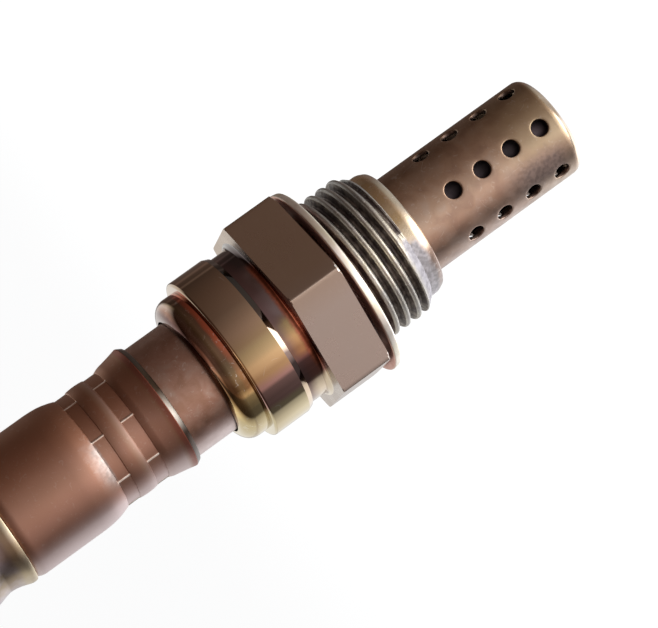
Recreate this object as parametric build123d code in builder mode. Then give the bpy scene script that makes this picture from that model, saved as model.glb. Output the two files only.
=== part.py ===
"""Heated exhaust-gas oxygen sensor of the thimble type, in millimetres.

The sensor screws into an exhaust boss with its M18 thread. Its axis is Z: the perforated tip points down, into the
gas, and the leads leave at the top. The origin is the centre of the gasket's lower face, which seals on the boss.

From the tip up the pieces are: two perforated protectors round a zirconia thimble with a heater rod in it; the steel
shell with its thread, hexagon and crimped lip, which holds the thimble by a washer, packed talc, a ceramic bushing and
a wire ring; the inner cover tube, whose flange the lip traps; the outer sleeve, crimped on that tube by eight jaws at
two heights; the terminal insulator with four contacts, pushed down by a spring washer; the vent cover over a porous
filter; and the rubber grommet with four lead bores. The leads themselves are not part of the model.
"""

from build123d import *
from math import cos, radians, sin
import os

os.makedirs("parts", exist_ok=True)

# ---------------------------------------------------------------- fits
slip = 0.05  # radial gap between round pieces that slide together
touch = 0.02  # gap between curved or conical faces that seat on each other
over = 1.0  # how far a cutting profile runs past the face that it opens

# ---------------------------------------------------------------- shell, outside
thread_diameter = 18.0
thread_pitch = 1.5
thread_length = 6.2  # the full-diameter part, down from the gasket's seat
thread_lead_in = 0.9  # chamfer that runs down to the pilot
pilot_diameter = 15.7
pilot_length = 2.2
pilot_chamfer = 0.8
hex_across_flats = 22.0
hex_length = 6.4
hex_corner_clip = 0.4  # radial size of the chamfer on the lower corners
neck_diameter = 19.1
neck_length = 2.5
neck_fillet = 0.5
collar_diameter = 20.2
collar_length = 5.3
collar_chamfer = 0.55
lip_diameter = 18.1
lip_height = 3.0
lip_roll = 1.7
lip_steps = [(0.3, 0.85), (1.15, 0.2)]  # how far the rolled edge lies inside the lip's radius and below its top

# ---------------------------------------------------------------- gasket
gasket_thickness = 1.0
gasket_thread_gap = 0.3  # radial, so that the ring slips over the thread
gasket_width = 2.4
gasket_sheet = 0.4
gasket_fold_chamfer = 0.3
gasket_play = 0.7  # the captive gasket floats this far below the hexagon
gasket_shift = 0.25  # and lies this far off the axis, towards -X

# ---------------------------------------------------------------- tip
protector_diameter = 12.2
protector_wall = 0.5
protector_rim = 1.2
protector_rim_steps = [(0.35, 0.35), (1.2, 0.0)]  # how far the rim lies inside the tube's radius and above its end
tip_depth = 30.0  # from the gasket's seat to the closed end
gas_hole_diameter = 2.0
gas_hole_columns = 6
gas_hole_rows = 4
gas_hole_pitch = 4.0
gas_hole_turn = -1.25  # degrees from the hexagon's corner to the nearest column
last_hole_to_end = 3.0
protector_flange_diameter = 14.2
inner_protector_diameter = 9.6
inner_protector_wall = 0.4
inner_protector_chamfer = 0.8
inner_end_hole_diameter = 1.6
protector_end_gap = 0.9  # between the two closed ends
inner_hole_diameter = 1.5
inner_hole_height = -13.0

# ---------------------------------------------------------------- thimble and heater
passage_diameter = 10.0
chamber_diameter = 12.8
seat_depth = 0.9  # the conical seat starts this far above the gasket's seat
washer_thickness = 0.4
thimble_tip_gap = 1.0
thimble_tip_diameter = 6.4
thimble_tip_chamfer = 1.6
thimble_taper_low = -12.0
thimble_taper = 2.0
thimble_neck_diameter = 8.2
thimble_rear_diameter = 8.4
thimble_flange_length = 3.4
thimble_top = 19.5
thimble_bore_diameter = 4.2
thimble_tip_wall = 1.2
bushing_length = 4.1
heater_diameter = 3.0
heater_tip_gap = 0.2
heater_top = 29.0

# ---------------------------------------------------------------- inner cover
cover_diameter = 14.1
cover_wall = 0.5
cover_flange_diameter = 15.9
step_above_collar = 0.1  # the flange's step in the shell, above the collar
lip_bore_gap = 0.25  # between the lip's inner edge and the tube
cover_neck_start = 25.0
cover_top = 34.9

# ---------------------------------------------------------------- outer sleeve
sleeve_diameter = 15.2
sleeve_wall = 0.5
sleeve_bottom = 24.0
sleeve_mouth_diameter = 15.45
crimp_diameter = 13.8
crimp_between_diameter = 14.2
crimp_heights = (28.75, 32.6)
crimp_width = 1.6
crimp_jaws = 8
crimp_ridge = 0.15  # the ridges between two jaws stay this proud
crimp_ridge_width = 0.5
crimp_turn = 4.0  # degrees from the hexagon's corner to the nearest ridge
crimp_run_out = 2.2  # axial length of each slope beside the crimped zone
sleeve_shoulder = 44.6
sleeve_shoulder_drop = 1.5  # axial length of the rounded shoulder
sleeve_shoulder_steps = [(0.2, 0.8), (0.5, 1.2)]  # how far it lies inside the sleeve's radius and above its start
sleeve_neck_diameter = 13.1
sleeve_top = 62.6
sleeve_lip_diameter = 10.8
grommet_crimp_drop = 2.4  # from the sleeve's top down to the crimp round the grommet
grommet_crimp_depth = 0.35
grommet_crimp_width = 1.0

# ---------------------------------------------------------------- vent cover and filter
vent_cover_bottom = 45.8
vent_cover_wall = 0.4
vent_filter_thickness = 0.5
vent_mouth_flare = 0.08  # the mouth's radius beyond the body's
vent_mouth_length = 0.6
vent_body_bottom = 51.2
vent_body_length = 3.4
vent_groove_height = 48.75
vent_groove_width = 1.0
vent_slope = 1.8
vent_grip_length = 1.2  # the top of the cover that holds the sleeve's neck
vent_hole_diameter = 1.2
vent_holes = 4

# ---------------------------------------------------------------- insulator, contacts and grommet
insulator_bottom = 21.5
insulator_side_gap = 0.4
socket_diameter = 9.6
socket_top = 29.5
contact_circle_diameter = 6.4
contact_bore_diameter = 2.3
contacts = 4
first_contact_angle = 45.0
spring_thickness = 0.4
spring_height = 1.4
spring_bore_diameter = 9.4
spring_outer_diameter = 12.7
spring_play = 0.1  # below the sleeve's shoulder
strip_thickness = 0.3
strip_width = 1.6
strip_top = 34.0
barrel_diameter = 2.0
barrel_wall = 0.3
barrel_bottom = 32.4
barrel_length = 14.0
clip_thickness = 0.25
clip_slot = 0.8
tab_gap = 0.2  # between the thimble's end and the signal contact's tab
signal_clip_depth = 4.0
ground_clip_bottom = 16.3
ground_clip_height = 3.0
ground_tab_height = 20.2
heater_pad_bottom = 25.0
heater_pad_height = 3.2
heater_pad_width = 2.4
heater_pad_reach = 3.0
grommet_length = 8.2
grommet_stand_proud = 0.6
grommet_edge = 0.25
lead_bore_diameter = 2.1

# ---------------------------------------------------------------- levels and radii that follow
hex_low = gasket_thickness + gasket_play
hex_high = hex_low + hex_length
collar_low = hex_high + neck_length
collar_high = collar_low + collar_length
lip_high = collar_high + lip_height
thread_low = -thread_length
pilot_high = thread_low - thread_lead_in
pilot_low = pilot_high - pilot_length
thread_radius = thread_diameter / 2
relief_radius = thread_radius - 0.6134 * thread_pitch
pilot_radius = pilot_diameter / 2
neck_radius = neck_diameter / 2
collar_radius = collar_diameter / 2
lip_radius = lip_diameter / 2
protector_radius = protector_diameter / 2
flange_radius = protector_flange_diameter / 2
flange_low = pilot_low + pilot_chamfer
flange_mid = flange_low + protector_wall
flange_high = flange_mid + inner_protector_wall
tip_low = -tip_depth
inner_tip_low = tip_low + protector_wall + protector_end_gap
passage_radius = passage_diameter / 2
chamber_radius = chamber_diameter / 2
seat_high = seat_depth + chamber_radius - passage_radius
cover_step = collar_high + step_above_collar
cover_radius = cover_diameter / 2
cover_flange_radius = cover_flange_diameter / 2
cover_bore_radius = cover_radius - cover_wall
lip_edge_radius = cover_radius + lip_bore_gap
ring_wire = cover_flange_radius - cover_radius - 2 * slip
lip_under = cover_step + cover_wall + ring_wire + 2 * touch
sleeve_radius = sleeve_diameter / 2
sleeve_bore_radius = sleeve_radius - sleeve_wall
sleeve_neck_radius = sleeve_neck_diameter / 2
crimp_radius = crimp_diameter / 2
crimp_low = crimp_heights[0] - crimp_width / 2
crimp_high = crimp_heights[1] + crimp_width / 2
cover_neck_radius = crimp_radius - sleeve_wall - touch
insulator_radius = sleeve_bore_radius - insulator_side_gap
insulator_front_radius = cover_neck_radius - cover_wall - slip
contact_radius = contact_circle_diameter / 2
hex_corner_radius = hex_across_flats / 2 / cos(radians(30))

# ================================================================ shell
with BuildPart() as shell:
    # the hexagon, with a corner towards -Y
    with BuildSketch(Plane.XY.offset(hex_low)):
        RegularPolygon(hex_across_flats / 2, 6, major_radius=False, rotation=30)
    extrude(amount=hex_length)
    # a turned chamfer clips its lower corners
    with BuildSketch(Plane.XZ):
        with BuildLine():
            Polyline(
                (0, hex_low),
                (hex_corner_radius - hex_corner_clip, hex_low),
                (hex_corner_radius + over, hex_low + (hex_corner_clip + over) * 0.577),
                (hex_corner_radius + over, hex_high),
                (0, hex_high),
                close=True,
            )
        make_face()
    revolve(axis=Axis.Z, mode=Mode.INTERSECT)
    # everything that is turned: pilot, thread blank, undercut, neck, collar and crimped lip
    with BuildSketch(Plane.XZ):
        with BuildLine():
            Polyline(
                (0, pilot_low),
                (pilot_radius - pilot_chamfer, pilot_low),
                (pilot_radius, pilot_low + pilot_chamfer),
                (pilot_radius, pilot_high),
                (thread_radius, thread_low),
                (thread_radius, 0),
                (relief_radius, thread_radius - relief_radius),
                (relief_radius, hex_low),
                (neck_radius, hex_low),
                (neck_radius, hex_high - neck_fillet),
                (neck_radius + neck_fillet, hex_high),
                (neck_radius, hex_high + neck_fillet),
                (neck_radius, collar_low),
                (collar_radius, collar_low + collar_chamfer),
                (collar_radius, collar_high),
                (lip_radius, collar_high),
                (lip_radius, lip_high - lip_roll),
                *[(lip_radius - inset, lip_high - drop) for inset, drop in lip_steps],
                (lip_edge_radius, lip_high),
                (0, lip_high),
                (0, pilot_low),
            )
        make_face()
    revolve(axis=Axis.Z)
    # the stepped bore: protector seat, gas passage, conical seat, packing chamber and cover step
    with BuildSketch(Plane.XZ):
        with BuildLine():
            Polyline(
                (0, pilot_low - over),
                (protector_radius + slip, pilot_low - over),
                (protector_radius + slip, flange_low),
                (flange_radius + slip, flange_low),
                (flange_radius + slip, flange_high),
                (passage_radius, flange_high),
                (passage_radius, seat_depth),
                (chamber_radius, seat_high),
                (chamber_radius, cover_step),
                (cover_flange_radius + slip, cover_step),
                (cover_flange_radius + slip, lip_under),
                (lip_edge_radius, lip_under),
                (lip_edge_radius, lip_high + over),
                (0, lip_high + over),
                close=True,
            )
        make_face()
    revolve(axis=Axis.Z, mode=Mode.SUBTRACT)

# ================================================================ gasket: one ring of sheet folded on itself
gasket_bore = thread_radius + gasket_thread_gap
gasket_radius = gasket_bore + gasket_width
slit_end = gasket_radius - gasket_sheet
with BuildPart() as gasket:
    with BuildSketch(Plane.XZ):
        with BuildLine():
            Polyline(
                (gasket_bore, 0),
                (gasket_radius - gasket_fold_chamfer, 0),
                (gasket_radius, gasket_fold_chamfer),
                (gasket_radius, gasket_thickness - gasket_fold_chamfer),
                (gasket_radius - gasket_fold_chamfer, gasket_thickness),
                (gasket_bore, gasket_thickness),
                (gasket_bore, gasket_thickness - gasket_sheet),
                (slit_end, gasket_thickness - gasket_sheet),
                (slit_end, gasket_sheet),
                (gasket_bore, gasket_sheet),
                close=True,
            )
        make_face()
    revolve(axis=Axis.Z)
gasket.part = gasket.part.moved(Location((-gasket_shift, 0, 0)))


# ================================================================ protectors
def column_plane(turn, column, height):
    """Plane through the axis that faces one column of gas holes, turned from -Y by so many degrees."""
    angle = radians(turn - 90 + 360 / gas_hole_columns * column)
    return Plane(origin=(0, 0, height), x_dir=(-sin(angle), cos(angle), 0), z_dir=(cos(angle), sin(angle), 0))


hole_span = gas_hole_pitch * (gas_hole_rows - 1)
hole_middle = tip_low + last_hole_to_end + hole_span / 2

with BuildPart() as outer_protector:
    with BuildSketch(Plane.XZ):
        with BuildLine():
            Polyline(
                (0, tip_low),
                *[(protector_radius - inset, tip_low + rise) for inset, rise in reversed(protector_rim_steps)],
                (protector_radius, tip_low + protector_rim),
                (protector_radius, flange_low),
                (flange_radius, flange_low),
                (flange_radius, flange_mid),
                (protector_radius - protector_wall, flange_mid),
                (protector_radius - protector_wall, tip_low + protector_rim),
                (protector_radius - protector_rim, tip_low + protector_wall),
                (0, tip_low + protector_wall),
                close=True,
            )
        make_face()
    revolve(axis=Axis.Z)
    for column in range(gas_hole_columns):
        with BuildSketch(column_plane(gas_hole_turn, column, hole_middle)):
            with GridLocations(1, gas_hole_pitch, 1, gas_hole_rows):
                Circle(gas_hole_diameter / 2)
        extrude(amount=protector_radius + over, mode=Mode.SUBTRACT)

inner_radius = inner_protector_diameter / 2
with BuildPart() as inner_protector:
    with BuildSketch(Plane.XZ):
        with BuildLine():
            Polyline(
                (inner_end_hole_diameter / 2, inner_tip_low),
                (inner_radius - inner_protector_chamfer, inner_tip_low),
                (inner_radius, inner_tip_low + inner_protector_chamfer),
                (inner_radius, flange_mid),
                (flange_radius, flange_mid),
                (flange_radius, flange_high),
                (inner_radius - inner_protector_wall, flange_high),
                (inner_radius - inner_protector_wall, inner_tip_low + inner_protector_chamfer),
                (inner_radius - inner_protector_chamfer, inner_tip_low + inner_protector_wall),
                (inner_end_hole_diameter / 2, inner_tip_low + inner_protector_wall),
                close=True,
            )
        make_face()
    revolve(axis=Axis.Z)
    # its side holes face the gaps between the outer columns, so that no jet of gas hits the thimble
    for column in range(gas_hole_columns):
        with BuildSketch(column_plane(gas_hole_turn + 180 / gas_hole_columns, column, inner_hole_height)):
            Circle(inner_hole_diameter / 2)
        extrude(amount=inner_radius + over, mode=Mode.SUBTRACT)

# ================================================================ thimble, heater and the packing that holds it
thimble_low = inner_tip_low + inner_protector_wall + thimble_tip_gap
thimble_tip_radius = thimble_tip_diameter / 2
thimble_neck_radius = thimble_neck_diameter / 2
thimble_rear_radius = thimble_rear_diameter / 2
thimble_bore_radius = thimble_bore_diameter / 2
thimble_bore_end = thimble_low + thimble_tip_wall
thimble_flange_radius = chamber_radius - slip
washer_top_rise = washer_thickness + 2 * touch  # height of the thimble's cone above the shell's seat


def seat_level(radius):
    """Height of the shell's conical seat at a radius."""
    return seat_depth + radius - passage_radius


flange_bottom = seat_level(thimble_flange_radius) + washer_top_rise
flange_top = flange_bottom + thimble_flange_length


def flange_back_level(radius):
    """Height of the cone on the upper side of the thimble's flange at a radius."""
    return flange_top + thimble_flange_radius - radius


with BuildPart() as sensing_element:
    with BuildSketch(Plane.XZ):
        with BuildLine():
            Polyline(
                (0, thimble_low),
                (thimble_tip_radius - thimble_tip_chamfer, thimble_low),
                (thimble_tip_radius, thimble_low + thimble_tip_chamfer),
                (thimble_tip_radius, thimble_taper_low),
                (thimble_neck_radius, thimble_taper_low + thimble_taper),
                (thimble_neck_radius, seat_level(thimble_neck_radius) + washer_top_rise),
                (thimble_flange_radius, flange_bottom),
                (thimble_flange_radius, flange_top),
                (thimble_rear_radius, flange_back_level(thimble_rear_radius)),
                (thimble_rear_radius, thimble_top),
                (thimble_bore_radius, thimble_top),
                (thimble_bore_radius, thimble_bore_end),
                (0, thimble_bore_end),
                close=True,
            )
        make_face()
    revolve(axis=Axis.Z)

with BuildPart() as seat_washer:
    with BuildSketch(Plane.XZ):
        with BuildLine():
            Polyline(
                (passage_radius + slip, seat_level(passage_radius + slip) + touch),
                (chamber_radius - 2 * slip, seat_level(chamber_radius - 2 * slip) + touch),
                (chamber_radius - 2 * slip, seat_level(chamber_radius - 2 * slip) + touch + washer_thickness),
                (passage_radius + slip, seat_level(passage_radius + slip) + touch + washer_thickness),
                close=True,
            )
        make_face()
    revolve(axis=Axis.Z)

bushing_low = cover_step - bushing_length
packing_bore = thimble_rear_radius + slip
with BuildPart() as talc_ring:
    with BuildSketch(Plane.XZ):
        with BuildLine():
            Polyline(
                (packing_bore, flange_back_level(packing_bore) + touch),
                (thimble_flange_radius, flange_top + touch),
                (thimble_flange_radius, bushing_low),
                (packing_bore, bushing_low),
                close=True,
            )
        make_face()
    revolve(axis=Axis.Z)

with BuildPart() as ceramic_bushing:
    with BuildSketch(Plane.XY.offset(bushing_low)):
        Circle(chamber_radius - slip)
        Circle(packing_bore, mode=Mode.SUBTRACT)
    extrude(amount=bushing_length)

with BuildPart() as caulking_ring:
    with BuildSketch(Plane.XZ):
        with Locations((cover_radius + slip + ring_wire / 2, cover_step + cover_wall + touch + ring_wire / 2)):
            Rectangle(ring_wire, ring_wire)
    revolve(axis=Axis.Z)

heater_low = thimble_bore_end + heater_tip_gap
heater_radius = heater_diameter / 2
with BuildPart() as heater_rod:
    with BuildSketch(Plane.XY.offset(heater_low)):
        Circle(heater_radius)
    extrude(amount=heater_top - heater_low)

# ================================================================ inner cover: flanged tube, necked in by the crimps
with BuildPart() as inner_cover:
    with BuildSketch(Plane.XZ):
        with BuildLine():
            Polyline(
                (cover_bore_radius, cover_step),
                (cover_flange_radius, cover_step),
                (cover_flange_radius, cover_step + cover_wall),
                (cover_radius, cover_step + cover_wall),
                (cover_radius, cover_neck_start),
                (cover_neck_radius, crimp_low),
                (cover_neck_radius, cover_top),
                (cover_neck_radius - cover_wall, cover_top),
                (cover_neck_radius - cover_wall, crimp_low),
                (cover_bore_radius, cover_neck_start),
                close=True,
            )
        make_face()
    revolve(axis=Axis.Z)

# ================================================================ outer sleeve, pressed on the tube by eight jaws
mouth_radius = sleeve_mouth_diameter / 2
between_radius = crimp_between_diameter / 2
grommet_crimp_height = sleeve_top - grommet_crimp_drop
grommet_groove_radius = sleeve_neck_radius - grommet_crimp_depth
lip_bore_radius = sleeve_lip_diameter / 2
neck_bore_radius = sleeve_neck_radius - sleeve_wall
neck_low = sleeve_shoulder + sleeve_shoulder_drop
neck_bore_low = neck_low - sleeve_wall

vent_body_top = vent_body_bottom + vent_body_length
vent_hole_height = (vent_body_bottom + vent_body_top) / 2


def vent_plane(hole):
    """Plane through the axis that faces one vent hole."""
    angle = radians(first_contact_angle + 360 / vent_holes * hole)
    return Plane(
        origin=(0, 0, vent_hole_height), x_dir=(-sin(angle), cos(angle), 0), z_dir=(cos(angle), sin(angle), 0)
    )


with BuildPart() as outer_sleeve:
    with BuildSketch(Plane.XZ):
        with BuildLine():
            Polyline(
                # outside, from the mouth to the top
                (mouth_radius, sleeve_bottom),
                (mouth_radius, crimp_low - crimp_run_out),
                (crimp_radius, crimp_low),
                (crimp_radius, crimp_low + crimp_width),
                (between_radius, (crimp_low + crimp_high) / 2),
                (crimp_radius, crimp_high - crimp_width),
                (crimp_radius, crimp_high),
                (sleeve_radius, crimp_high + crimp_run_out),
                (sleeve_radius, sleeve_shoulder),
                *[(sleeve_radius - inset, sleeve_shoulder + rise) for inset, rise in sleeve_shoulder_steps],
                (sleeve_neck_radius, neck_low),
                (sleeve_neck_radius, grommet_crimp_height - grommet_crimp_width),
                (grommet_groove_radius, grommet_crimp_height),
                (sleeve_neck_radius, grommet_crimp_height + grommet_crimp_width),
                (sleeve_neck_radius, sleeve_top),
                # inside, from the top to the mouth
                (lip_bore_radius, sleeve_top),
                (lip_bore_radius, sleeve_top - sleeve_wall),
                (neck_bore_radius, sleeve_top - sleeve_wall),
                (neck_bore_radius, grommet_crimp_height + grommet_crimp_width),
                (grommet_groove_radius - sleeve_wall, grommet_crimp_height),
                (neck_bore_radius, grommet_crimp_height - grommet_crimp_width),
                (neck_bore_radius, neck_bore_low),
                (sleeve_bore_radius, sleeve_shoulder),
                (sleeve_bore_radius, crimp_high + crimp_run_out),
                (crimp_radius - sleeve_wall, crimp_high),
                (crimp_radius - sleeve_wall, crimp_low),
                (mouth_radius - sleeve_wall, crimp_low - crimp_run_out),
                (mouth_radius - sleeve_wall, sleeve_bottom),
                close=True,
            )
        make_face()
    revolve(axis=Axis.Z)
    # between two jaws a narrow ridge stays proud of both crimps
    with BuildSketch(Plane.XY.offset(crimp_low)):
        with PolarLocations(crimp_radius, crimp_jaws, crimp_turn - 90):
            Rectangle(2 * crimp_ridge, crimp_ridge_width)
    extrude(amount=crimp_high - crimp_low)
    # air reaches the inside of the thimble through holes in the sleeve's neck
    for hole in range(vent_holes):
        with BuildSketch(vent_plane(hole)):
            Circle(vent_hole_diameter / 2)
        extrude(amount=sleeve_radius + over, mode=Mode.SUBTRACT)

# ================================================================ vent cover over its porous filter
filter_inner_radius = sleeve_neck_radius + slip
filter_outer_radius = filter_inner_radius + vent_filter_thickness
vent_body_radius = filter_outer_radius + slip + vent_cover_wall
vent_mouth_radius = vent_body_radius + vent_mouth_flare
vent_groove_radius = sleeve_neck_radius + touch + vent_cover_wall
top_groove_low = vent_body_top + vent_slope
vent_cover_top = top_groove_low + vent_grip_length

# radius and height of the cover's outside, from its mouth to its top
vent_outside = [
    (vent_mouth_radius, vent_cover_bottom),
    (vent_mouth_radius, vent_cover_bottom + vent_mouth_length),
    (vent_groove_radius, vent_groove_height - vent_groove_width / 2),
    (vent_groove_radius, vent_groove_height + vent_groove_width / 2),
    (vent_body_radius, vent_body_bottom),
    (vent_body_radius, vent_body_top),
    (vent_groove_radius, top_groove_low),
    (vent_groove_radius, vent_cover_top),
]
vent_inside = [(r - vent_cover_wall, z) for r, z in vent_outside]
with BuildPart() as vent_cover:
    with BuildSketch(Plane.XZ):
        with BuildLine():
            Polyline(*vent_outside, *reversed(vent_inside), close=True)
        make_face()
    revolve(axis=Axis.Z)
    for hole in range(vent_holes):
        with BuildSketch(vent_plane(hole)):
            Circle(vent_hole_diameter / 2)
        extrude(amount=vent_body_radius + over, mode=Mode.SUBTRACT)

with BuildPart() as vent_filter:
    with BuildSketch(Plane.XY.offset(vent_body_bottom)):
        Circle(filter_outer_radius)
        Circle(filter_inner_radius, mode=Mode.SUBTRACT)
    extrude(amount=vent_body_top - vent_body_bottom)

# ================================================================ terminal insulator and its spring washer
insulator_shoulder = cover_top + touch
shoulder_slope = (neck_bore_low - sleeve_shoulder) / (sleeve_bore_radius - neck_bore_radius)
spring_seat = sleeve_shoulder + (sleeve_bore_radius - spring_outer_diameter / 2) * shoulder_slope
insulator_top = spring_seat - spring_play - spring_height - touch
contact_spots = [
    (
        contact_radius * cos(radians(first_contact_angle + 360 / contacts * spot)),
        contact_radius * sin(radians(first_contact_angle + 360 / contacts * spot)),
    )
    for spot in range(contacts)
]
with BuildPart() as terminal_insulator:
    with BuildSketch(Plane.XZ):
        with BuildLine():
            Polyline(
                (0, socket_top),
                (socket_diameter / 2, socket_top),
                (socket_diameter / 2, insulator_bottom),
                (insulator_front_radius, insulator_bottom),
                (insulator_front_radius, insulator_shoulder),
                (insulator_radius, insulator_shoulder),
                (insulator_radius, insulator_top),
                (0, insulator_top),
                close=True,
            )
        make_face()
    revolve(axis=Axis.Z)
    with BuildSketch(Plane.XY.offset(socket_top)):
        with Locations(*contact_spots):
            Circle(contact_bore_diameter / 2)
    extrude(amount=insulator_top - socket_top, mode=Mode.SUBTRACT)

with BuildPart() as spring_washer:
    with BuildSketch(Plane.XZ):
        with BuildLine():
            Polyline(
                (spring_bore_diameter / 2, insulator_top + touch),
                (spring_outer_diameter / 2, insulator_top + touch + spring_height - spring_thickness),
                (spring_outer_diameter / 2, insulator_top + touch + spring_height),
                (spring_bore_diameter / 2, insulator_top + touch + spring_thickness),
                close=True,
            )
        make_face()
    revolve(axis=Axis.Z)

# ================================================================ contacts: strip, barrel and a clip of its own each
barrel_radius = barrel_diameter / 2
barrel_bore_radius = barrel_radius - barrel_wall
strip_low = contact_radius - strip_thickness / 2
strip_high = contact_radius + strip_thickness / 2
outer_clip_radius = thimble_rear_radius + touch
inner_clip_radius = thimble_bore_radius - touch
heater_clip_radius = heater_radius + touch


def spot_frame(spot):
    """Plane at the axis whose x direction points at one contact's place."""
    angle = radians(first_contact_angle + 360 / contacts * spot)
    return Plane(origin=(0, 0, 0), x_dir=(cos(angle), sin(angle), 0), z_dir=(0, 0, 1))


# the signal contact lines the mouth of the thimble's bore
with BuildPart() as signal_contact:
    with BuildSketch(spot_frame(0).offset(thimble_top - signal_clip_depth)):
        Circle(inner_clip_radius)
        Circle(inner_clip_radius - clip_thickness, mode=Mode.SUBTRACT)
        with Locations((-inner_clip_radius, 0)):
            Rectangle(inner_clip_radius, clip_slot, mode=Mode.SUBTRACT)
    extrude(amount=signal_clip_depth + tab_gap + strip_thickness)
    with BuildSketch(spot_frame(0).offset(thimble_top + tab_gap)):
        with Locations(((inner_clip_radius - clip_thickness / 2 + strip_high) / 2, 0)):
            Rectangle(strip_high - inner_clip_radius + clip_thickness / 2, strip_width)
    extrude(amount=strip_thickness)
    with BuildSketch(spot_frame(0).offset(thimble_top + tab_gap)):
        with Locations((contact_radius, 0)):
            Rectangle(strip_thickness, strip_width)
    extrude(amount=strip_top - thimble_top - tab_gap)
    with BuildSketch(spot_frame(0).offset(barrel_bottom)):
        with Locations((contact_radius, 0)):
            Circle(barrel_radius)
            Circle(barrel_bore_radius, mode=Mode.SUBTRACT)
    extrude(amount=barrel_length)

# the ground contact clips round the thimble's rear end
with BuildPart() as ground_contact:
    with BuildSketch(spot_frame(2).offset(ground_clip_bottom)):
        Circle(outer_clip_radius + clip_thickness)
        Circle(outer_clip_radius, mode=Mode.SUBTRACT)
        with Locations((-outer_clip_radius, 0)):
            Rectangle(outer_clip_radius, clip_slot, mode=Mode.SUBTRACT)
    extrude(amount=ground_clip_height)
    with BuildSketch(spot_frame(2).offset(ground_clip_bottom)):
        with Locations((outer_clip_radius + clip_thickness / 2, 0)):
            Rectangle(clip_thickness, strip_width)
    extrude(amount=ground_tab_height + strip_thickness - ground_clip_bottom)
    with BuildSketch(spot_frame(2).offset(ground_tab_height)):
        with Locations(((strip_low + outer_clip_radius + clip_thickness) / 2, 0)):
            Rectangle(outer_clip_radius + clip_thickness - strip_low, strip_width)
    extrude(amount=strip_thickness)
    with BuildSketch(spot_frame(2).offset(ground_tab_height)):
        with Locations((contact_radius, 0)):
            Rectangle(strip_thickness, strip_width)
    extrude(amount=strip_top - ground_tab_height)
    with BuildSketch(spot_frame(2).offset(barrel_bottom)):
        with Locations((contact_radius, 0)):
            Circle(barrel_radius)
            Circle(barrel_bore_radius, mode=Mode.SUBTRACT)
    extrude(amount=barrel_length)


# each heater contact presses a curved pad on one side of the rod
with BuildPart() as heater_contact_a:
    with BuildSketch(spot_frame(1).offset(heater_pad_bottom)):
        Circle(heater_clip_radius + clip_thickness)
        Circle(heater_clip_radius, mode=Mode.SUBTRACT)
        with Locations((heater_pad_reach / 2, 0)):
            Rectangle(heater_pad_reach, heater_pad_width, mode=Mode.INTERSECT)
    extrude(amount=heater_pad_height)
    with BuildSketch(spot_frame(1).offset(heater_pad_bottom)):
        with Locations(((heater_clip_radius + clip_thickness / 2 + strip_high) / 2, 0)):
            Rectangle(strip_high - heater_clip_radius - clip_thickness / 2, strip_width)
    extrude(amount=strip_thickness)
    with BuildSketch(spot_frame(1).offset(heater_pad_bottom)):
        with Locations((contact_radius, 0)):
            Rectangle(strip_thickness, strip_width)
    extrude(amount=strip_top - heater_pad_bottom)
    with BuildSketch(spot_frame(1).offset(barrel_bottom)):
        with Locations((contact_radius, 0)):
            Circle(barrel_radius)
            Circle(barrel_bore_radius, mode=Mode.SUBTRACT)
    extrude(amount=barrel_length)

with BuildPart() as heater_contact_b:
    add(heater_contact_a.part.rotate(Axis.Z, 180))

# ================================================================ grommet with four lead bores
grommet_radius = sleeve_neck_radius - sleeve_wall - slip
grommet_waist_radius = grommet_groove_radius - sleeve_wall - slip
grommet_top_radius = lip_bore_radius - slip
grommet_shoulder = sleeve_top - sleeve_wall - touch
grommet_top = sleeve_top + grommet_stand_proud
grommet_bottom = grommet_top - grommet_length
with BuildPart() as rubber_grommet:
    with BuildSketch(Plane.XZ):
        with BuildLine():
            Polyline(
                (0, grommet_bottom),
                (grommet_radius, grommet_bottom),
                (grommet_radius, grommet_crimp_height - grommet_crimp_width),
                (grommet_waist_radius, grommet_crimp_height),
                (grommet_radius, grommet_crimp_height + grommet_crimp_width),
                (grommet_radius, grommet_shoulder),
                (grommet_top_radius, grommet_shoulder),
                (grommet_top_radius, grommet_top - grommet_edge),
                (grommet_top_radius - grommet_edge, grommet_top),
                (0, grommet_top),
                close=True,
            )
        make_face()
    revolve(axis=Axis.Z)
    with BuildSketch(Plane.XY.offset(grommet_bottom)):
        with Locations(*contact_spots):
            Circle(lead_bore_diameter / 2)
    extrude(amount=grommet_length, mode=Mode.SUBTRACT)

# ================================================================ one file for each piece
pieces = {
    "shell": shell,
    "gasket": gasket,
    "outer_protector": outer_protector,
    "inner_protector": inner_protector,
    "sensing_element": sensing_element,
    "seat_washer": seat_washer,
    "talc_ring": talc_ring,
    "ceramic_bushing": ceramic_bushing,
    "caulking_ring": caulking_ring,
    "heater_rod": heater_rod,
    "inner_cover": inner_cover,
    "outer_sleeve": outer_sleeve,
    "vent_cover": vent_cover,
    "vent_filter": vent_filter,
    "terminal_insulator": terminal_insulator,
    "spring_washer": spring_washer,
    "signal_contact": signal_contact,
    "ground_contact": ground_contact,
    "heater_contact_a": heater_contact_a,
    "heater_contact_b": heater_contact_b,
    "rubber_grommet": rubber_grommet,
}
for name, piece in pieces.items():
    piece.part.label = name
    export_step(piece.part, f"parts/{name}.step")
    print(f"{name}: {piece.part.volume:.1f} mm3, {len(piece.part.solids())} solid")
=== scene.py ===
# %% [markdown]
# # An exhaust oxygen sensor, piece by piece
# An oxygen sensor screws into an exhaust pipe and smells how much oxygen the engine leaves over. Its tip
# hangs in the hot gas, so its steel turns bronze, brown and gold. We dress a measured frame with finely
# turned pieces, and most of them are made the same way as on the real bench: a profile is spun round an
# axis, as on a lathe.

# %% Open the measured frame
import math

import bmesh
import bpy
from mathutils import Matrix, Vector


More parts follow.
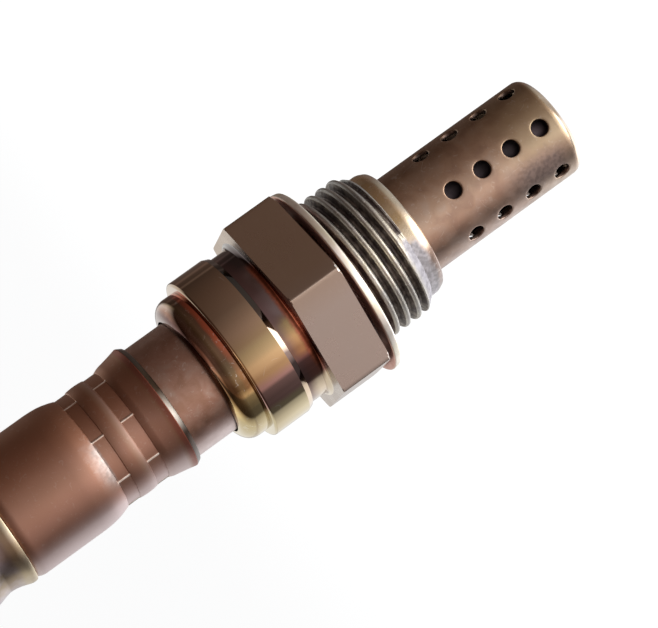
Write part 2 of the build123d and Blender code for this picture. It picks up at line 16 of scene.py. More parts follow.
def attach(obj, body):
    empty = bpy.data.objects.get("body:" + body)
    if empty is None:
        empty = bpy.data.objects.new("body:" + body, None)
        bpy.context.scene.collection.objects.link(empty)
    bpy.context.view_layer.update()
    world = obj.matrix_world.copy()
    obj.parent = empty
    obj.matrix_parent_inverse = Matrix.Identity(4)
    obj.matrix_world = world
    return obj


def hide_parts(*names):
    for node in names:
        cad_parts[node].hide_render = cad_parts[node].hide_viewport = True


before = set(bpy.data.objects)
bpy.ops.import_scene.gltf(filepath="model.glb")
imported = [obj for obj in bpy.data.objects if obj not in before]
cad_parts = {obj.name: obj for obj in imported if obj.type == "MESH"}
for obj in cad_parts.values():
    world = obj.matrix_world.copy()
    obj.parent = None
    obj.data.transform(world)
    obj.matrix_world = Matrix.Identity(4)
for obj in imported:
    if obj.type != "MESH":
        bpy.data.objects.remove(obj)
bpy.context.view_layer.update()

MM = 0.001  # one millimetre in Blender's metres

# %% [markdown]
# ## A lathe
# Nearly every piece of a sensor is round, so one small lathe makes most of them. We draw half of the
# section as a line of corners, round some corners with the bevel operator, spin the line a full turn, and
# weld what meets. A bevel on bare corners needs affect="VERTICES"; its offset is how far the round
# reaches along each side.

# %% Draw a section and spin it

FINE_ROUND = 5  # segments of a small round
WIDE_ROUND = 9
WIDE_REACH = 0.5  # mm, from here on a round is a wide one
LATHE_STEPS = 192
FINE_STEPS = 256  # for the pieces that shine
WELD = 0.0005  # mm, points closer than this become one


def draw_section(mesh, corners, closed):
    """Adds a line of (radius, height, rounding) corners in millimetres."""
    points = [mesh.verts.new((c[0] * MM, 0, c[1] * MM)) for c in corners]
    for first, second in zip(points, points[1:]):
        mesh.edges.new((first, second))
    if closed:
        mesh.edges.new((points[-1], points[0]))
    for point, corner in zip(points, corners):
        reach = corner[2] if len(corner) > 2 else 0
        if reach:
            bmesh.ops.bevel(
                mesh,
                geom=[point],
                offset=reach * MM,
                affect="VERTICES",
                segments=FINE_ROUND if reach < WIDE_REACH else WIDE_ROUND,
                profile=0.5,
                material=-1,
            )


def turn_on_lathe(corners, closed=True, steps=LATHE_STEPS):
    """Spins a section round the Z axis into a welded piece."""
    mesh = bmesh.new()
    draw_section(mesh, corners, closed)
    bmesh.ops.spin(
        mesh,
        geom=mesh.verts[:] + mesh.edges[:],
        cent=(0, 0, 0),
        axis=(0, 0, 1),
        angle=math.tau,
        steps=steps,
        use_merge=True,
    )
    bmesh.ops.remove_doubles(mesh, verts=mesh.verts, dist=WELD * MM)
    bmesh.ops.recalc_face_normals(mesh, faces=mesh.faces)
    return mesh


print("lathe ready, a full turn in", LATHE_STEPS, "steps")

# %% [markdown]
# ## From the bench to the scene
# A bmesh is only a shape on the bench. To be seen it becomes mesh data, gets its finishes, and is linked
# to the scene. Smooth shading hides the facets, and edges sharper than the crease angle stay crisp. Each
# piece then says which measured nodes it stands for, so that those are hidden behind it.

# %% Put a worked piece in the scene


def put_in_scene(mesh, name, *finishes, nodes, slot, crease=32):
    """Turns a worked mesh into a piece of the sensor that stands for measured nodes."""
    data = bpy.data.meshes.new(name)
    mesh.to_mesh(data)
    mesh.free()
    for finish in finishes:
        data.materials.append(finish)
    data.shade_smooth()
    data.set_sharp_from_angle(angle=math.radians(crease))
    piece = bpy.data.objects.new(name, data)
    bpy.context.scene.collection.objects.link(piece)
    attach(piece, "root")
    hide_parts(*nodes)
    print(name, len(data.polygons), "faces")


def turn_of(co):
    """How far round the axis a point is, in degrees."""
    return math.degrees(math.atan2(co.y, co.x))


def radius_of(co):
    """How far from the axis a point is, in millimetres."""
    return math.hypot(co.x, co.y) / MM


def stretch_out(co, times):
    """Moves a point away from the axis or towards it."""
    co.x *= times
    co.y *= times


def face_outwards(mesh):
    """Turns an open tube's faces away from the axis."""
    bmesh.ops.recalc_face_normals(mesh, faces=mesh.faces)
    middles = [(face.normal, face.calc_center_median()) for face in mesh.faces]
    if sum(normal.x * middle.x + normal.y * middle.y for normal, middle in middles) < 0:
        bmesh.ops.reverse_faces(mesh, faces=mesh.faces)


print("the measured frame has", len(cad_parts), "nodes to dress or to finish")

# %% [markdown]
# ## Tools that wire a finish
# A finish is a net of small nodes: one makes noise, one turns a value into a colour, one mixes two
# colours. They could be laid by hand in the Shader Editor. Written down as short tools, the same nodes
# serve every steel of the sensor and the air round it, and each tool gives back the socket that the next
# one reads. The patterns read object coordinates, so they stay on the piece when it turns.

# %% Lay out the tools


class FinishBench:
    """Wires the nodes of one finish. Sizes of patterns and depths of bumps are in millimetres."""

    def __init__(self, tree, coordinates=None):
        self.tree = tree
        if coordinates:
            self.place = self.add("TexCoord", {}).outputs[coordinates]

    def add(self, kind, inputs, **settings):
        """Adds a node, sets it up, and fills its inputs with wires, numbers or colours."""
        node = self.tree.nodes.new("ShaderNode" + kind)
        for setting, value in settings.items():
            setattr(node, setting, value)
        for key, value in inputs.items():
            socket = node.inputs[key]
            if isinstance(value, bpy.types.NodeSocket):
                self.tree.links.new(value, socket)
            else:
                socket.default_value = (*value, 1) if socket.type == "RGBA" else value
        return node

    def along(self):
        """The place along X, Y and Z."""
        return self.add("SeparateXYZ", {"Vector": self.place}).outputs

    def noise(self, size, detail, stretch=None, warp=0.0):
        """A noise pattern with features of a size."""
        place = self.place
        if stretch:
            place = self.add("Mapping", {"Vector": place, "Scale": stretch}).outputs["Vector"]
        inputs = {"Vector": place, "Scale": 1 / (size * MM), "Detail": detail, "Distortion": warp}
        return self.add("TexNoise", inputs).outputs["Fac"]

    def ramp(self, source, stops):
        """A colour ramp with (share of the way, colour) stops."""
        node = self.add("ValToRGB", {"Fac": source})
        elements = node.color_ramp.elements
        while len(elements) < len(stops):
            elements.new(0.5)
        for element, (at, colour) in zip(elements, stops):
            element.position = at
            element.color = (*colour, 1)
        return node.outputs["Color"]

    def blend(self, how_much, low, high):
        """Mixes two colours by a value. The three sockets are the factor and the two colours."""
        return self.add("Mix", {0: how_much, 6: low, 7: high}, data_type="RGBA").outputs[2]

    def grey(self, colour):
        """The brightness of a colour, as a value."""
        return self.add("RGBToBW", {"Color": colour}).outputs["Val"]

    def work_out(self, operation, *values):
        """The result of one sum with values."""
        return self.add("Math", dict(enumerate(values)), operation=operation).outputs["Value"]

    def work_out_colour(self, operation, first, second):
        """The result of one sum with two colours."""
        return self.add("VectorMath", {0: first, 1: second}, operation=operation).outputs["Vector"]

    def rise(self, source, low, high, start=0.0, end=1.0):
        """Goes from start to end while a value goes from low to high."""
        inputs = {"Value": source, "From Min": low, "From Max": high, "To Min": start, "To Max": end}
        return self.add("MapRange", inputs).outputs["Result"]

    def relief(self, height, depth, over=None):
        """Bumps of a depth, laid over other bumps if asked."""
        inputs = {"Height": height, "Distance": depth * MM, "Strength": 1.0}
        if over is not None:
            inputs["Normal"] = over
        return self.add("Bump", inputs).outputs["Normal"]


def start_finish(name, metallic):
    """A new material with its shader, and the bench that wires it."""
    finish = bpy.data.materials.new(name)
    finish.use_nodes = True
    shader = finish.node_tree.nodes["Principled BSDF"]
    shader.inputs["Metallic"].default_value = metallic
    print(name, "mixed")
    return finish, shader, FinishBench(finish.node_tree, "Object")


# %% [markdown]
# ## Steel that the exhaust has coloured
# Hot steel grows a skin of oxide that shows straw, gold, brown and purple, depending on its heat. All the
# metal here is one kind of shader: full metallic, with a colour that wanders between a few tints, a
# roughness that wanders too, and a fine bump. A painted picture could do it as well, but it would have to
# be drawn for each piece. Bands lay the colours along an axis, as the heat did, and on many pieces they
# also paint shade on one side and highlights and reflections on another. A patch is where the skin has
# gone, and on the sleeve and the neck a patch is a painted highlight and a painted reflection.

# %% Mix a metal finish

PATCH_FROM, PATCH_SPREAD = 0.36, 0.28  # the part of a noise over which its patches change tint
SPECK_EDGE = (0.62, 0.72)
SCRATCH_SPACING, SCRATCH_LINE = 5.0, (0.0035, 0.0005)
BREAK_SIZE, BREAK_EDGE = 2.6, (0.60, 0.64)
SHINE_EDGE = (0.35, 0.65)
WIDEST_FRAY, FRAY_SIZE = 1.2, 0.7  # mm, how far and how often the edge of a patch wanders
PATCH_MOTTLE_SIZE, PATCH_MOTTLE_DARK = 0.45, 0.72
TURNING_MARKS = (0.05, 0.05, 7.0)  # noise stretched round the piece and squeezed along it


def heat_tinted_steel(
    name,
    tints,
    roughness=(0.25, 0.4),
    patch_size=4.0,
    grain_size=0.25,
    grain_depth=0.004,
    turned=0.0,
    specks=0.0,
    speck_tint=(0.75, 0.72, 0.68),
    scratches=0.0,
    bands=(),
    scuff_and_sheen=None,
):
    """Metal whose tints wander in patches, with grain, turning marks, specks and scratches, in millimetres.

    A band is (axis, from, to, wander, stops), with stops of (share of the way, tint, strength).
    A patch is (tint, roughness, limits), with limits of (axis, where it begins, where it is full).
    It stands for a scuff, and on the sleeve and the neck for a painted highlight and reflection.
    """
    finish, shader, bench = start_finish(name, metallic=1.0)
    along = bench.along()
    last_tint = max(1, len(tints) - 1)
    spread = [(PATCH_FROM + PATCH_SPREAD * i / last_tint, tint) for i, tint in enumerate(tints)]
    colour = bench.ramp(bench.noise(patch_size, 4, warp=0.4), spread)
    for axis, low, high, wander, stops in bands:
        drift = bench.work_out("MULTIPLY_ADD", bench.noise(patch_size * 0.7, 4), wander * MM, along[axis])
        way = bench.rise(drift, (low + wander / 2) * MM, (high + wander / 2) * MM)
        strength = bench.grey(bench.ramp(way, [(at, (amount,) * 3) for at, tint, amount in stops]))
        colour = bench.blend(strength, colour, bench.ramp(way, [(at, tint) for at, tint, amount in stops]))
    if specks:
        fleck_stops = [(SPECK_EDGE[0], (0, 0, 0)), (SPECK_EDGE[1], (specks,) * 3)]
        fleck = bench.ramp(bench.noise(grain_size * 2.2, 2, warp=1.2), fleck_stops)
        colour = bench.blend(bench.grey(fleck), colour, speck_tint)
    if scratches:
        # thin lines run where a slow noise crosses its middle, and a second noise breaks them up
        slow = bench.noise(SCRATCH_SPACING, 0, warp=0.3)
        from_line = bench.work_out("ABSOLUTE", bench.work_out("SUBTRACT", slow, 0.5))
        lines = bench.rise(from_line, *SCRATCH_LINE)
        pieces = bench.rise(bench.noise(BREAK_SIZE, 2), *BREAK_EDGE)
        strength = bench.work_out("MULTIPLY", bench.work_out("MULTIPLY", lines, pieces), scratches)
        colour = bench.blend(strength, colour, speck_tint)
    dullness = bench.rise(bench.noise(patch_size * 0.6, 5), *SHINE_EDGE, *roughness)
    if scuff_and_sheen:
        patch_tint, patch_roughness, limits = scuff_and_sheen
        where = 1.0
        for axis, start, full in limits:
            reach = min(WIDEST_FRAY, abs(full - start)) * MM
            frayed = bench.work_out("MULTIPLY_ADD", bench.noise(FRAY_SIZE, 5, warp=0.5), reach, -reach / 2)
            edge = bench.rise(bench.work_out("ADD", along[axis], frayed), start * MM, full * MM)
            where = bench.work_out("MULTIPLY", edge, where)
        patch_stops = [(0.38, [c * PATCH_MOTTLE_DARK for c in patch_tint]), (0.6, patch_tint)]
        colour = bench.blend(where, colour, bench.ramp(bench.noise(PATCH_MOTTLE_SIZE, 4), patch_stops))
        added = bench.work_out("MULTIPLY", where, patch_roughness - roughness[0])
        dullness = bench.work_out("ADD", dullness, added)
    relief = bench.relief(bench.noise(grain_size, 3), grain_depth)
    if turned:
        relief = bench.relief(bench.noise(1.0, 2, stretch=TURNING_MARKS), turned, over=relief)
    for socket, value in (("Base Color", colour), ("Roughness", dullness), ("Normal", relief)):
        bench.tree.links.new(value, shader.inputs[socket])
    return finish


# %% [markdown]
# ## The colours of the tip
# The tip is the hottest part. Its sheet is bronze in patches, golden towards the end, and dull in one
# scuffed strip. It is painted darker towards +X, as shade, and paler towards -X, as a highlight. The rim
# is smoother and painted paler, as a highlight, and the walls of the holes are painted dark, as shade. One
# steel for all of it would look like plastic, so the cup gets three.

# %% Mix the steels of the tip

tip_steel = heat_tinted_steel(
    "bronzed tip sheet",
    [(0.28, 0.18, 0.13), (0.36, 0.24, 0.17), (0.37, 0.27, 0.21)],
    roughness=(0.34, 0.46),
    patch_size=2.5,
    specks=0.16,
    scratches=0.4,
    bands=[
        ("Z", -30, -20, 4.0, [
            (0.0, (0.42, 0.33, 0.21), 0.9),
            (0.5, (0.36, 0.28, 0.17), 0.7),
            (1.0, (0.36, 0.27, 0.17), 0.0),
        ]),
        # painted light: darker towards +X, as shade, and paler towards -X, as a highlight
        ("X", -6, 5, 3.0, [
            (0.0, (0.42, 0.34, 0.32), 0.5), (0.22, (0.42, 0.27, 0.21), 0.5),
            (0.4, (0.4, 0.3, 0.24), 0.2), (0.75, (0.34, 0.24, 0.16), 0.2),
            (1.0, (0.2, 0.12, 0.07), 0.7),
        ]),
    ],
    scuff_and_sheen=((0.3, 0.23, 0.205), 0.46, [
        ("X", -1.8, -3.6),
        ("X", -5.6, -4.6),
        ("Z", -19, -23),
        ("Z", -29.5, -27),
    ]),
)
# the rim's steel is smoother, and its paler colour is a painted highlight along the edge
rim_highlight_steel = heat_tinted_steel(
    "smooth tip rim with painted highlight",
    [(0.38, 0.29, 0.21), (0.46, 0.38, 0.31)],
    roughness=(0.15, 0.24),
    patch_size=1.5,
    specks=0.2,
)
# the walls of the holes are painted dark: painted shade inside the holes
hole_shade_steel = heat_tinted_steel(
    "hole walls in painted shade",
    [(0.07, 0.05, 0.04), (0.16, 0.11, 0.09)],
    roughness=(0.3, 0.4),
    patch_size=1.0,
)

# %% [markdown]
# ## The punched tip
# The outer protector is a drawn cup with six columns of four holes. A boolean cut would leave long thin
# faces round each hole, and they would show in the shine. So we make one small tile with a hole in it,
# lay out a sheet of such tiles, roll the sheet into a tube, and close the end with rings that follow the
# cup's rounded bottom.

# %% One tile with a punched hole

TIP_RADIUS = 6.1
TIP_WALL = 0.5
HOLE_RADIUS = 1.0
HOLE_PITCH = 4.0
HOLE_COLUMNS = 6
HOLE_ROWS = 4
HOLE_SEGMENTS = 48
HOLE_TAPER = 0.985  # the hole is a little narrower inside
RIM_DEPTH = 0.075
DRAWN_RINGS = ((1.03, 0.035), (1.05, 0.012), (1.06, 0.0))  # growth over the last ring, depth in mm
PLAIN_FROM = 1.16  # times the hole's radius, where the flat of the tile begins
SPREAD = (0.15, 0.32, 0.55, 0.8, 1.0)  # shares of the way from there to the tile's frame
TILE_WIDTH = math.tau * TIP_RADIUS / HOLE_COLUMNS


def punched_tile(mesh, hole, wall, width, height, across, up):
    """A flat tile in the XZ plane with a hole whose rim is slightly drawn in; Y is the depth."""
    upright = Matrix.Rotation(math.pi / 2, 4, "X")
    circle = bmesh.ops.create_circle(mesh, segments=HOLE_SEGMENTS, radius=hole, matrix=upright)
    corner = math.atan2(height, width)
    half_step = math.pi / HOLE_SEGMENTS
    ring = list({edge for vert in circle["verts"] for edge in vert.link_edges})
    rim = circle["verts"]

    def grow(edges, place):
        """Extrudes a loop of edges, moves its new points and returns its new edges."""
        made = bmesh.ops.extrude_edge_only(mesh, edges=edges)["geom"]
        for item in made:
            if isinstance(item, bmesh.types.BMVert):
                item.co = place(item.co)
        return [item for item in made if isinstance(item, bmesh.types.BMEdge)]

    def to_frame(co, share):
        """A point part of the way from the hole to the tile's frame."""
        angle = math.atan2(co.z, co.x)
        for target in (corner, math.pi - corner, corner - math.pi, -corner):
            if abs(angle - target) < half_step:
                angle += (target - angle) * share
        sideways = width / 2 / max(1e-9, abs(math.cos(angle)))
        upwards = height / 2 / max(1e-9, abs(math.sin(angle)))
        inner = hole * PLAIN_FROM
        radius = inner + (min(sideways, upwards) - inner) * share
        return Vector((math.cos(angle) * radius, 0, math.sin(angle) * radius))

    # the wall of the hole, down from the rim
    grow(ring, lambda co: Vector((co.x * HOLE_TAPER, wall, co.z * HOLE_TAPER)))
    # the drawn rim, then rings that spread to the frame
    for vert in rim:
        vert.co.y = RIM_DEPTH * MM
    loop = ring
    for growth, depth in DRAWN_RINGS:
        loop = grow(loop, lambda co, g=growth, d=depth: Vector((co.x * g, d * MM, co.z * g)))
    for share in SPREAD:
        loop = grow(loop, lambda co, share=share: to_frame(co, share))
    # the wall of the hole takes the second steel, which is painted shade
    for face in mesh.faces:
        face.material_index = 1 if any(vert.co.y > wall / 2 for vert in face.verts) else 0
    bmesh.ops.translate(mesh, verts=mesh.verts, vec=(across, 0, up))


print(HOLE_COLUMNS, "columns of", HOLE_ROWS, "tiles,", round(TILE_WIDTH, 2), "mm wide")

# %% [markdown]
# ## Rolling the sheet
# The tiles are laid side by side and rolled round the axis, as a tinsmith rolls a punched strip. The last
# row is then drawn over a rounded edge to the flat end, ring by ring, and the other side runs up as a
# plain wall. Rolled that way, every hole keeps its drawn rim, and the tube's facets stay as fine as the
# tiles'. Only the walls of the holes have the sheet's thickness: the cup's inner side and the flange
# hidden in the pilot are left out.

# %% Roll the sheet and close the cup

FIRST_HOLE = -27.0
HOLE_TURN = -91.25  # degrees round the axis, the first column
TIP_END = -30.0
RIM = 1.2  # mm, the radius of the rounded bottom
ABOVE_RIM = 0.02
RIM_HIGHLIGHT = 0.85  # mm above the end, as far as the rim gets its smoother steel and painted highlight
END_RINGS = [(3.2, TIP_END), (1.6, TIP_END)]
PLAIN_WALL = -12.5
WALL_TOP = -8.2
CENTRE = 0.02
SEAM_WELD = 0.002  # mm, the same for the points where tiles or turns meet

sheet = bmesh.new()
for column in range(HOLE_COLUMNS):
    for row in range(HOLE_ROWS):
        tile = bmesh.new()
        punched_tile(
            tile,
            HOLE_RADIUS * MM,
            TIP_WALL * MM,
            TILE_WIDTH * MM,
            HOLE_PITCH * MM,
            column * TILE_WIDTH * MM,
            (FIRST_HOLE + row * HOLE_PITCH) * MM,
        )
        tile_data = bpy.data.meshes.new("tile")
        tile.to_mesh(tile_data)
        sheet.from_mesh(tile_data)
        tile.free()
        bpy.data.meshes.remove(tile_data)

# X becomes the way round and Y the depth below the surface
for vert in sheet.verts:
    angle = math.radians(HOLE_TURN) + vert.co.x / (TIP_RADIUS * MM)
    out = TIP_RADIUS * MM - vert.co.y
    vert.co = Vector((math.cos(angle) * out, math.sin(angle) * out, vert.co.z))
bmesh.ops.remove_doubles(sheet, verts=sheet.verts, dist=SEAM_WELD * MM)


def boundary_at(mesh, height):
    """The open edges of the sheet at one height."""
    return [
        edge
        for edge in mesh.edges
        if len(edge.link_faces) == 1 and all(abs(v.co.z - height) < 0.01 * MM for v in edge.verts)
    ]


def pull_rings(mesh, edges, rings):
    """Extrudes a round edge loop through (radius, height) rings in millimetres."""
    for radius, height in rings:
        made = bmesh.ops.extrude_edge_only(mesh, edges=edges)["geom"]
        edges = [item for item in made if isinstance(item, bmesh.types.BMEdge)]
        for vert in {v for edge in edges for v in edge.verts}:
            flat = Vector((vert.co.x, vert.co.y, 0)).normalized() * radius * MM
            vert.co = Vector((flat.x, flat.y, height * MM))
    return edges


low_edge = boundary_at(sheet, (FIRST_HOLE - HOLE_PITCH / 2) * MM)
high_edge = boundary_at(sheet, (FIRST_HOLE + (HOLE_ROWS - 0.5) * HOLE_PITCH) * MM)
rim_rings = [
    (TIP_RADIUS - RIM + RIM * math.cos(a), TIP_END + RIM - RIM * math.sin(a))
    for a in [math.radians(step * 10) for step in range(0, 10)]
]
# the last tiles reach below the start of the rim, so they are moved up to it
for vert in {v for edge in low_edge for v in edge.verts}:
    vert.co.z = (TIP_END + RIM + ABOVE_RIM) * MM
low_edge = pull_rings(sheet, low_edge, rim_rings + END_RINGS)
last = pull_rings(sheet, low_edge, [(CENTRE, TIP_END)])
bmesh.ops.pointmerge(sheet, verts=list({v for e in last for v in e.verts}), merge_co=(0, 0, TIP_END * MM))
wall_rings = [(TIP_RADIUS, PLAIN_WALL), (TIP_RADIUS, WALL_TOP), (TIP_RADIUS - TIP_WALL, WALL_TOP)]
pull_rings(sheet, high_edge, wall_rings)
face_outwards(sheet)
# the rim takes the third steel, with its painted highlight
for face in sheet.faces:
    if face.calc_center_median().z < (TIP_END + RIM_HIGHLIGHT) * MM:
        face.material_index = 2
put_in_scene(
    sheet,
    "outer_protector_punched",
    tip_steel,
    hole_shade_steel,
    rim_highlight_steel,
    nodes=["outer_protector"],
    slot="tip_steel",
    crease=40,
)

# %% [markdown]
# ## The second cup
# Behind the holes a second cup keeps drops of water off the hot ceramic. On the real one six holes face
# the gaps between the outer columns, so only dark wall shows. It could be punched like the first cup.
# Here it is plainly turned, and its six side holes are left out.

# %% Turn the inner cup

inner_cup = turn_on_lathe(
    [
        (0.8, -28.6), (4.8, -28.6, 0.8), (4.8, -8.0), (7.1, -8.0), (7.1, -7.6), (4.4, -7.6),
        (4.4, -28.2, 0.5), (0.8, -28.2),
    ],
    steps=96,
)
# the cup shows only deep behind the holes, so its near-black steel is painted shade
inner_cup_steel = heat_tinted_steel(
    "inner cup in painted shade",
    [(0.05, 0.042, 0.046), (0.09, 0.072, 0.08)],
    roughness=(0.45, 0.6),
    patch_size=3.0,
)
put_in_scene(inner_cup, "inner_protector_cup", inner_cup_steel, nodes=["inner_protector"], slot="tip_steel")

# %% [markdown]
# ## The colours of the thread
# The crests of a thread are worn grey by the boss they turned in. Two steels on one mesh: the first for
# the crests and the flanks that face the tip, and a darker one, painted shade, for the root and the flanks
# that face up. Both turn red-brown just below the gasket.

# %% Mix the steels of the thread

thread_steel = heat_tinted_steel(
    "worn thread crests",
    [(0.36, 0.36, 0.37), (0.48, 0.44, 0.35), (0.54, 0.51, 0.49)],
    roughness=(0.42, 0.58),
    patch_size=2.4,
    grain_size=0.12,
    grain_depth=0.03,
    specks=0.5,
    speck_tint=(0.9, 0.88, 0.85),
    bands=[
        # painted shade: paler towards -X and darker towards +X
        ("X", -5, 7, 1.5, [
            (0.0, (0.4, 0.39, 0.38), 0.7),
            (0.2, (0.5, 0.46, 0.4), 0.2),
            (0.8, (0.27, 0.26, 0.25), 0.8),
        ]),
        ("Z", -1.3, -0.5, 0.3, [(0.0, (0.2, 0.08, 0.07), 0.0), (0.6, (0.2, 0.08, 0.07), 0.9)]),
    ],
    scuff_and_sheen=((0.46, 0.45, 0.49), 0.62, [("X", -1.2, -2.0), ("Z", -5.9, -6.4)]),
)
valley_shade_steel = heat_tinted_steel(
    "thread root and upper flanks in painted shade",
    [(0.07, 0.055, 0.055), (0.12, 0.1, 0.09), (0.2, 0.17, 0.15)],
    roughness=(0.42, 0.6),
    patch_size=1.2,
    grain_size=0.12,
    grain_depth=0.03,
    specks=0.25,
    bands=[
        ("Z", -0.9, -0.3, 0.1, [(0.0, (0.12, 0.05, 0.04), 0.0), (1.0, (0.12, 0.05, 0.04), 0.9)]),
    ],
)

# %% [markdown]
# ## The thread
# An M18 thread with a pitch of 1.5 mm is one groove that winds down the shell. Rings would look right
# from the side, but they wouldn't climb. Spin can climb while it turns: dvec is how far each step moves
# along the axis. We draw one tooth, spin it one turn downwards, copy that turn below itself, weld the
# turns, and then hold every point inside the cones that the lathe would cut at the two ends.

# %% Wind the thread

PITCH = 1.5
CREST = 9.0
ROOT = 8.08
TOOTH = 1.96  # the height of the first crest
THREAD_TOP = 1.7
THREAD_END = -7.1
TURN_STEPS = 144
MORE_TURNS = 7
ON_PLANE = 0.0001  # mm, points this close to a cutting plane count as on it

thread = bmesh.new()
draw_section(
    thread,
    [
        (ROOT, TOOTH + 0.75),
        (ROOT, TOOTH + 0.59, 0.12),
        (8.80, TOOTH + 0.32, 0.10),
        (8.96, TOOTH + 0.18),
        (CREST, TOOTH),
        (8.96, TOOTH - 0.18),
        (8.80, TOOTH - 0.32, 0.10),
        (ROOT, TOOTH - 0.59, 0.12),
        (ROOT, TOOTH - 0.75),
    ],
    closed=False,
)
bmesh.ops.spin(
    thread,
    geom=thread.verts[:] + thread.edges[:],
    cent=(0, 0, 0),
    axis=(0, 0, 1),
    dvec=(0, 0, -PITCH * MM / TURN_STEPS),
    angle=-math.tau,
    steps=TURN_STEPS,
    use_merge=False,
)
one_turn = thread.verts[:] + thread.edges[:] + thread.faces[:]
for turn in range(1, MORE_TURNS + 1):
    copied = bmesh.ops.duplicate(thread, geom=one_turn)["geom"]
    copied_points = [item for item in copied if isinstance(item, bmesh.types.BMVert)]
    bmesh.ops.translate(thread, verts=copied_points, vec=(0, 0, -turn * PITCH * MM))
bmesh.ops.remove_doubles(thread, verts=thread.verts, dist=SEAM_WELD * MM)


def cut_level(mesh, height, **sides):
    """Cuts a mesh at a height in millimetres, and clears a side if asked."""
    bmesh.ops.bisect_plane(
        mesh,
        geom=mesh.verts[:] + mesh.edges[:] + mesh.faces[:],
        plane_co=(0, 0, height * MM),
        plane_no=(0, 0, 1),
        dist=ON_PLANE * MM,
        **sides,
    )


cut_level(thread, THREAD_TOP, clear_outer=True)
cut_level(thread, THREAD_END, clear_inner=True)
print("thread wound,", len(thread.faces), "faces")

# %% [markdown]
# ## The ends of the thread
# A real thread doesn't stop dead. The blank is chamfered before the groove is cut, so at the lower end
# the crests sink into a lead-in cone, and the last groove fades out into the plain pilot. At the upper
# end an undercut makes room for the gasket. A boolean could cut the cones, but holding each point inside
# them needs no new faces.

# %% Hold the thread inside the lathe's cones

PILOT_RADIUS = 7.85
LEAD_IN, LEAD_IN_SLOPE = -5.95, 0.82
LAST_CREST, LAST_CREST_TURN = -5.5, -3.0  # the height of the last full crest, and where it has that height
FADE_FROM, FADE_OVER = -88.0, 18.0  # degrees round the axis
CONE_WELD = 0.001
SHADE_RADIUS = 8.25
SHADE_TURN, SHADE_REACH = -96.0, 1.2  # from this turn on, the painted shade reaches so far below the last crest


def last_crest_at(co):
    """The height of the last full crest, in millimetres, on the side where a point is."""
    return LAST_CREST + PITCH * (turn_of(co) - LAST_CREST_TURN) / 360


def hold_inside_cones(co):
    """Holds a point inside the undercut above and the lead-in below, where the last groove fades out."""
    radius = radius_of(co)
    height = co.z / MM
    lead_in = max(PILOT_RADIUS, CREST - max(0.0, LEAD_IN - height) * LEAD_IN_SLOPE)
    limit = min(lead_in, max(ROOT, CREST - height)) if height > 0 else lead_in
    if height < last_crest_at(co):
        fade = min(1.0, max(0.0, (FADE_FROM - turn_of(co)) / FADE_OVER))
        faded = max(radius, PILOT_RADIUS) * (1 - fade) + max(radius, lead_in) * fade
        stretch_out(co, min(faded, limit) / radius)
    elif radius > limit:
        stretch_out(co, limit / radius)


for vert in thread.verts:
    hold_inside_cones(vert.co)
bmesh.ops.remove_doubles(thread, verts=thread.verts, dist=CONE_WELD * MM)
face_outwards(thread)
# the root and the flanks that face up take the darker steel, which is painted shade
for face in thread.faces:
    middle = face.calc_center_median()
    shade_from = last_crest_at(middle) - (SHADE_REACH if turn_of(middle) > SHADE_TURN else 0)
    in_root = radius_of(middle) < SHADE_RADIUS and middle.z > shade_from * MM
    if in_root or face.normal.z > 0.85:
        face.material_index = 1
put_in_scene(
    thread,
    "shell_thread",
    thread_steel,
    valley_shade_steel,
    nodes=["shell"],
    slot="shell_steel",
    crease=50,
)

# %% [markdown]
# ## The rest of the shell
# The shell is one bar of steel. Beside its thread it is made here as five pieces that meet: the pilot
# below the thread, the hexagon, and the neck, the collar and the rolled lip above it. One mesh could hold
# them all, but pieces that meet at a sharp corner can each keep a clean section and a finish of their
# own. They are made for the outside only: the hexagon is a solid block, the thread, neck, collar and lip
# are skins, and the real shell's bore is left out. The pilot is the plain end that the tip comes out of,
# and the heat has gilded it.

# %% Turn the pilot

pilot = turn_on_lathe(
    [
        (7.6, -7.1), (7.85, -7.1), (7.85, -8.3, 0.3), (7.4, -9.25, 0.3), (6.15, -9.25, 0.1),
        (6.15, -8.5), (7.0, -8.5),
    ]
)
pilot_steel = heat_tinted_steel(
    "gilded pilot steel",
    [(0.48, 0.35, 0.19), (0.52, 0.41, 0.26)],
    roughness=(0.24, 0.38),
    patch_size=2.0,
    grain_depth=0.01,
    specks=0.3,
    bands=[
        ("Z", -9.3, -7.9, 0.3, [
            (0.0, (0.46, 0.42, 0.38), 0.9),
            (0.6, (0.44, 0.38, 0.3), 0.7),
            (1, (0.4, 0.3, 0.2), 0),
        ]),
        # painted light and shade: near black towards -X as shade, then a bright stretch that is a painted
        # highlight
        ("X", -6, 0.5, 0.8, [
            (0.0, (0.14, 0.1, 0.09), 0.95), (0.3, (0.22, 0.14, 0.11), 0.9),
            (0.46, (0.62, 0.48, 0.36), 0.8), (0.8, (0.66, 0.54, 0.4), 0.8),
            (1.0, (0.6, 0.5, 0.4), 0.0),
        ]),
    ],
    scuff_and_sheen=((0.62, 0.61, 0.65), 0.66, [("X", -1.6, -2.6), ("Z", -8.6, -7.9)]),
)
put_in_scene(pilot, "shell_pilot", pilot_steel, nodes=["shell"], slot="shell_steel")

# %% [markdown]
# ## The hexagon
# The hexagon for the spanner is the bar as it was drawn, but for a light cut that takes its corners off
# at 30 degrees. A circle of six segments, extruded upwards, is already a hexagon. The cut leaves a curved
# line on each flat, so the flats are divided finely, and every point outside the cutting cone is moved in
# to it.

# %% Extrude the hexagon

ACROSS_FLATS = 22.0
HEX_LOW = 1.7
HEX_HIGH = 8.1
CORNER_ROUND = 0.12
FLAT_CUTS = 31
LOW_LEVELS = (0.12, 0.24, 0.36)  # mm above the lower face, where the cone needs points
HIGH_LEVEL = 0.1
LOW_CHAMFER = 0.45  # mm, taken off the corners' radius at the lower face
HIGH_CHAMFER = 0.15
CUTTING_SLOPE = 0.577  # the tangent of 30 degrees
GLINT_RADIUS = 12.2
GLINT_SIDE = 0.32

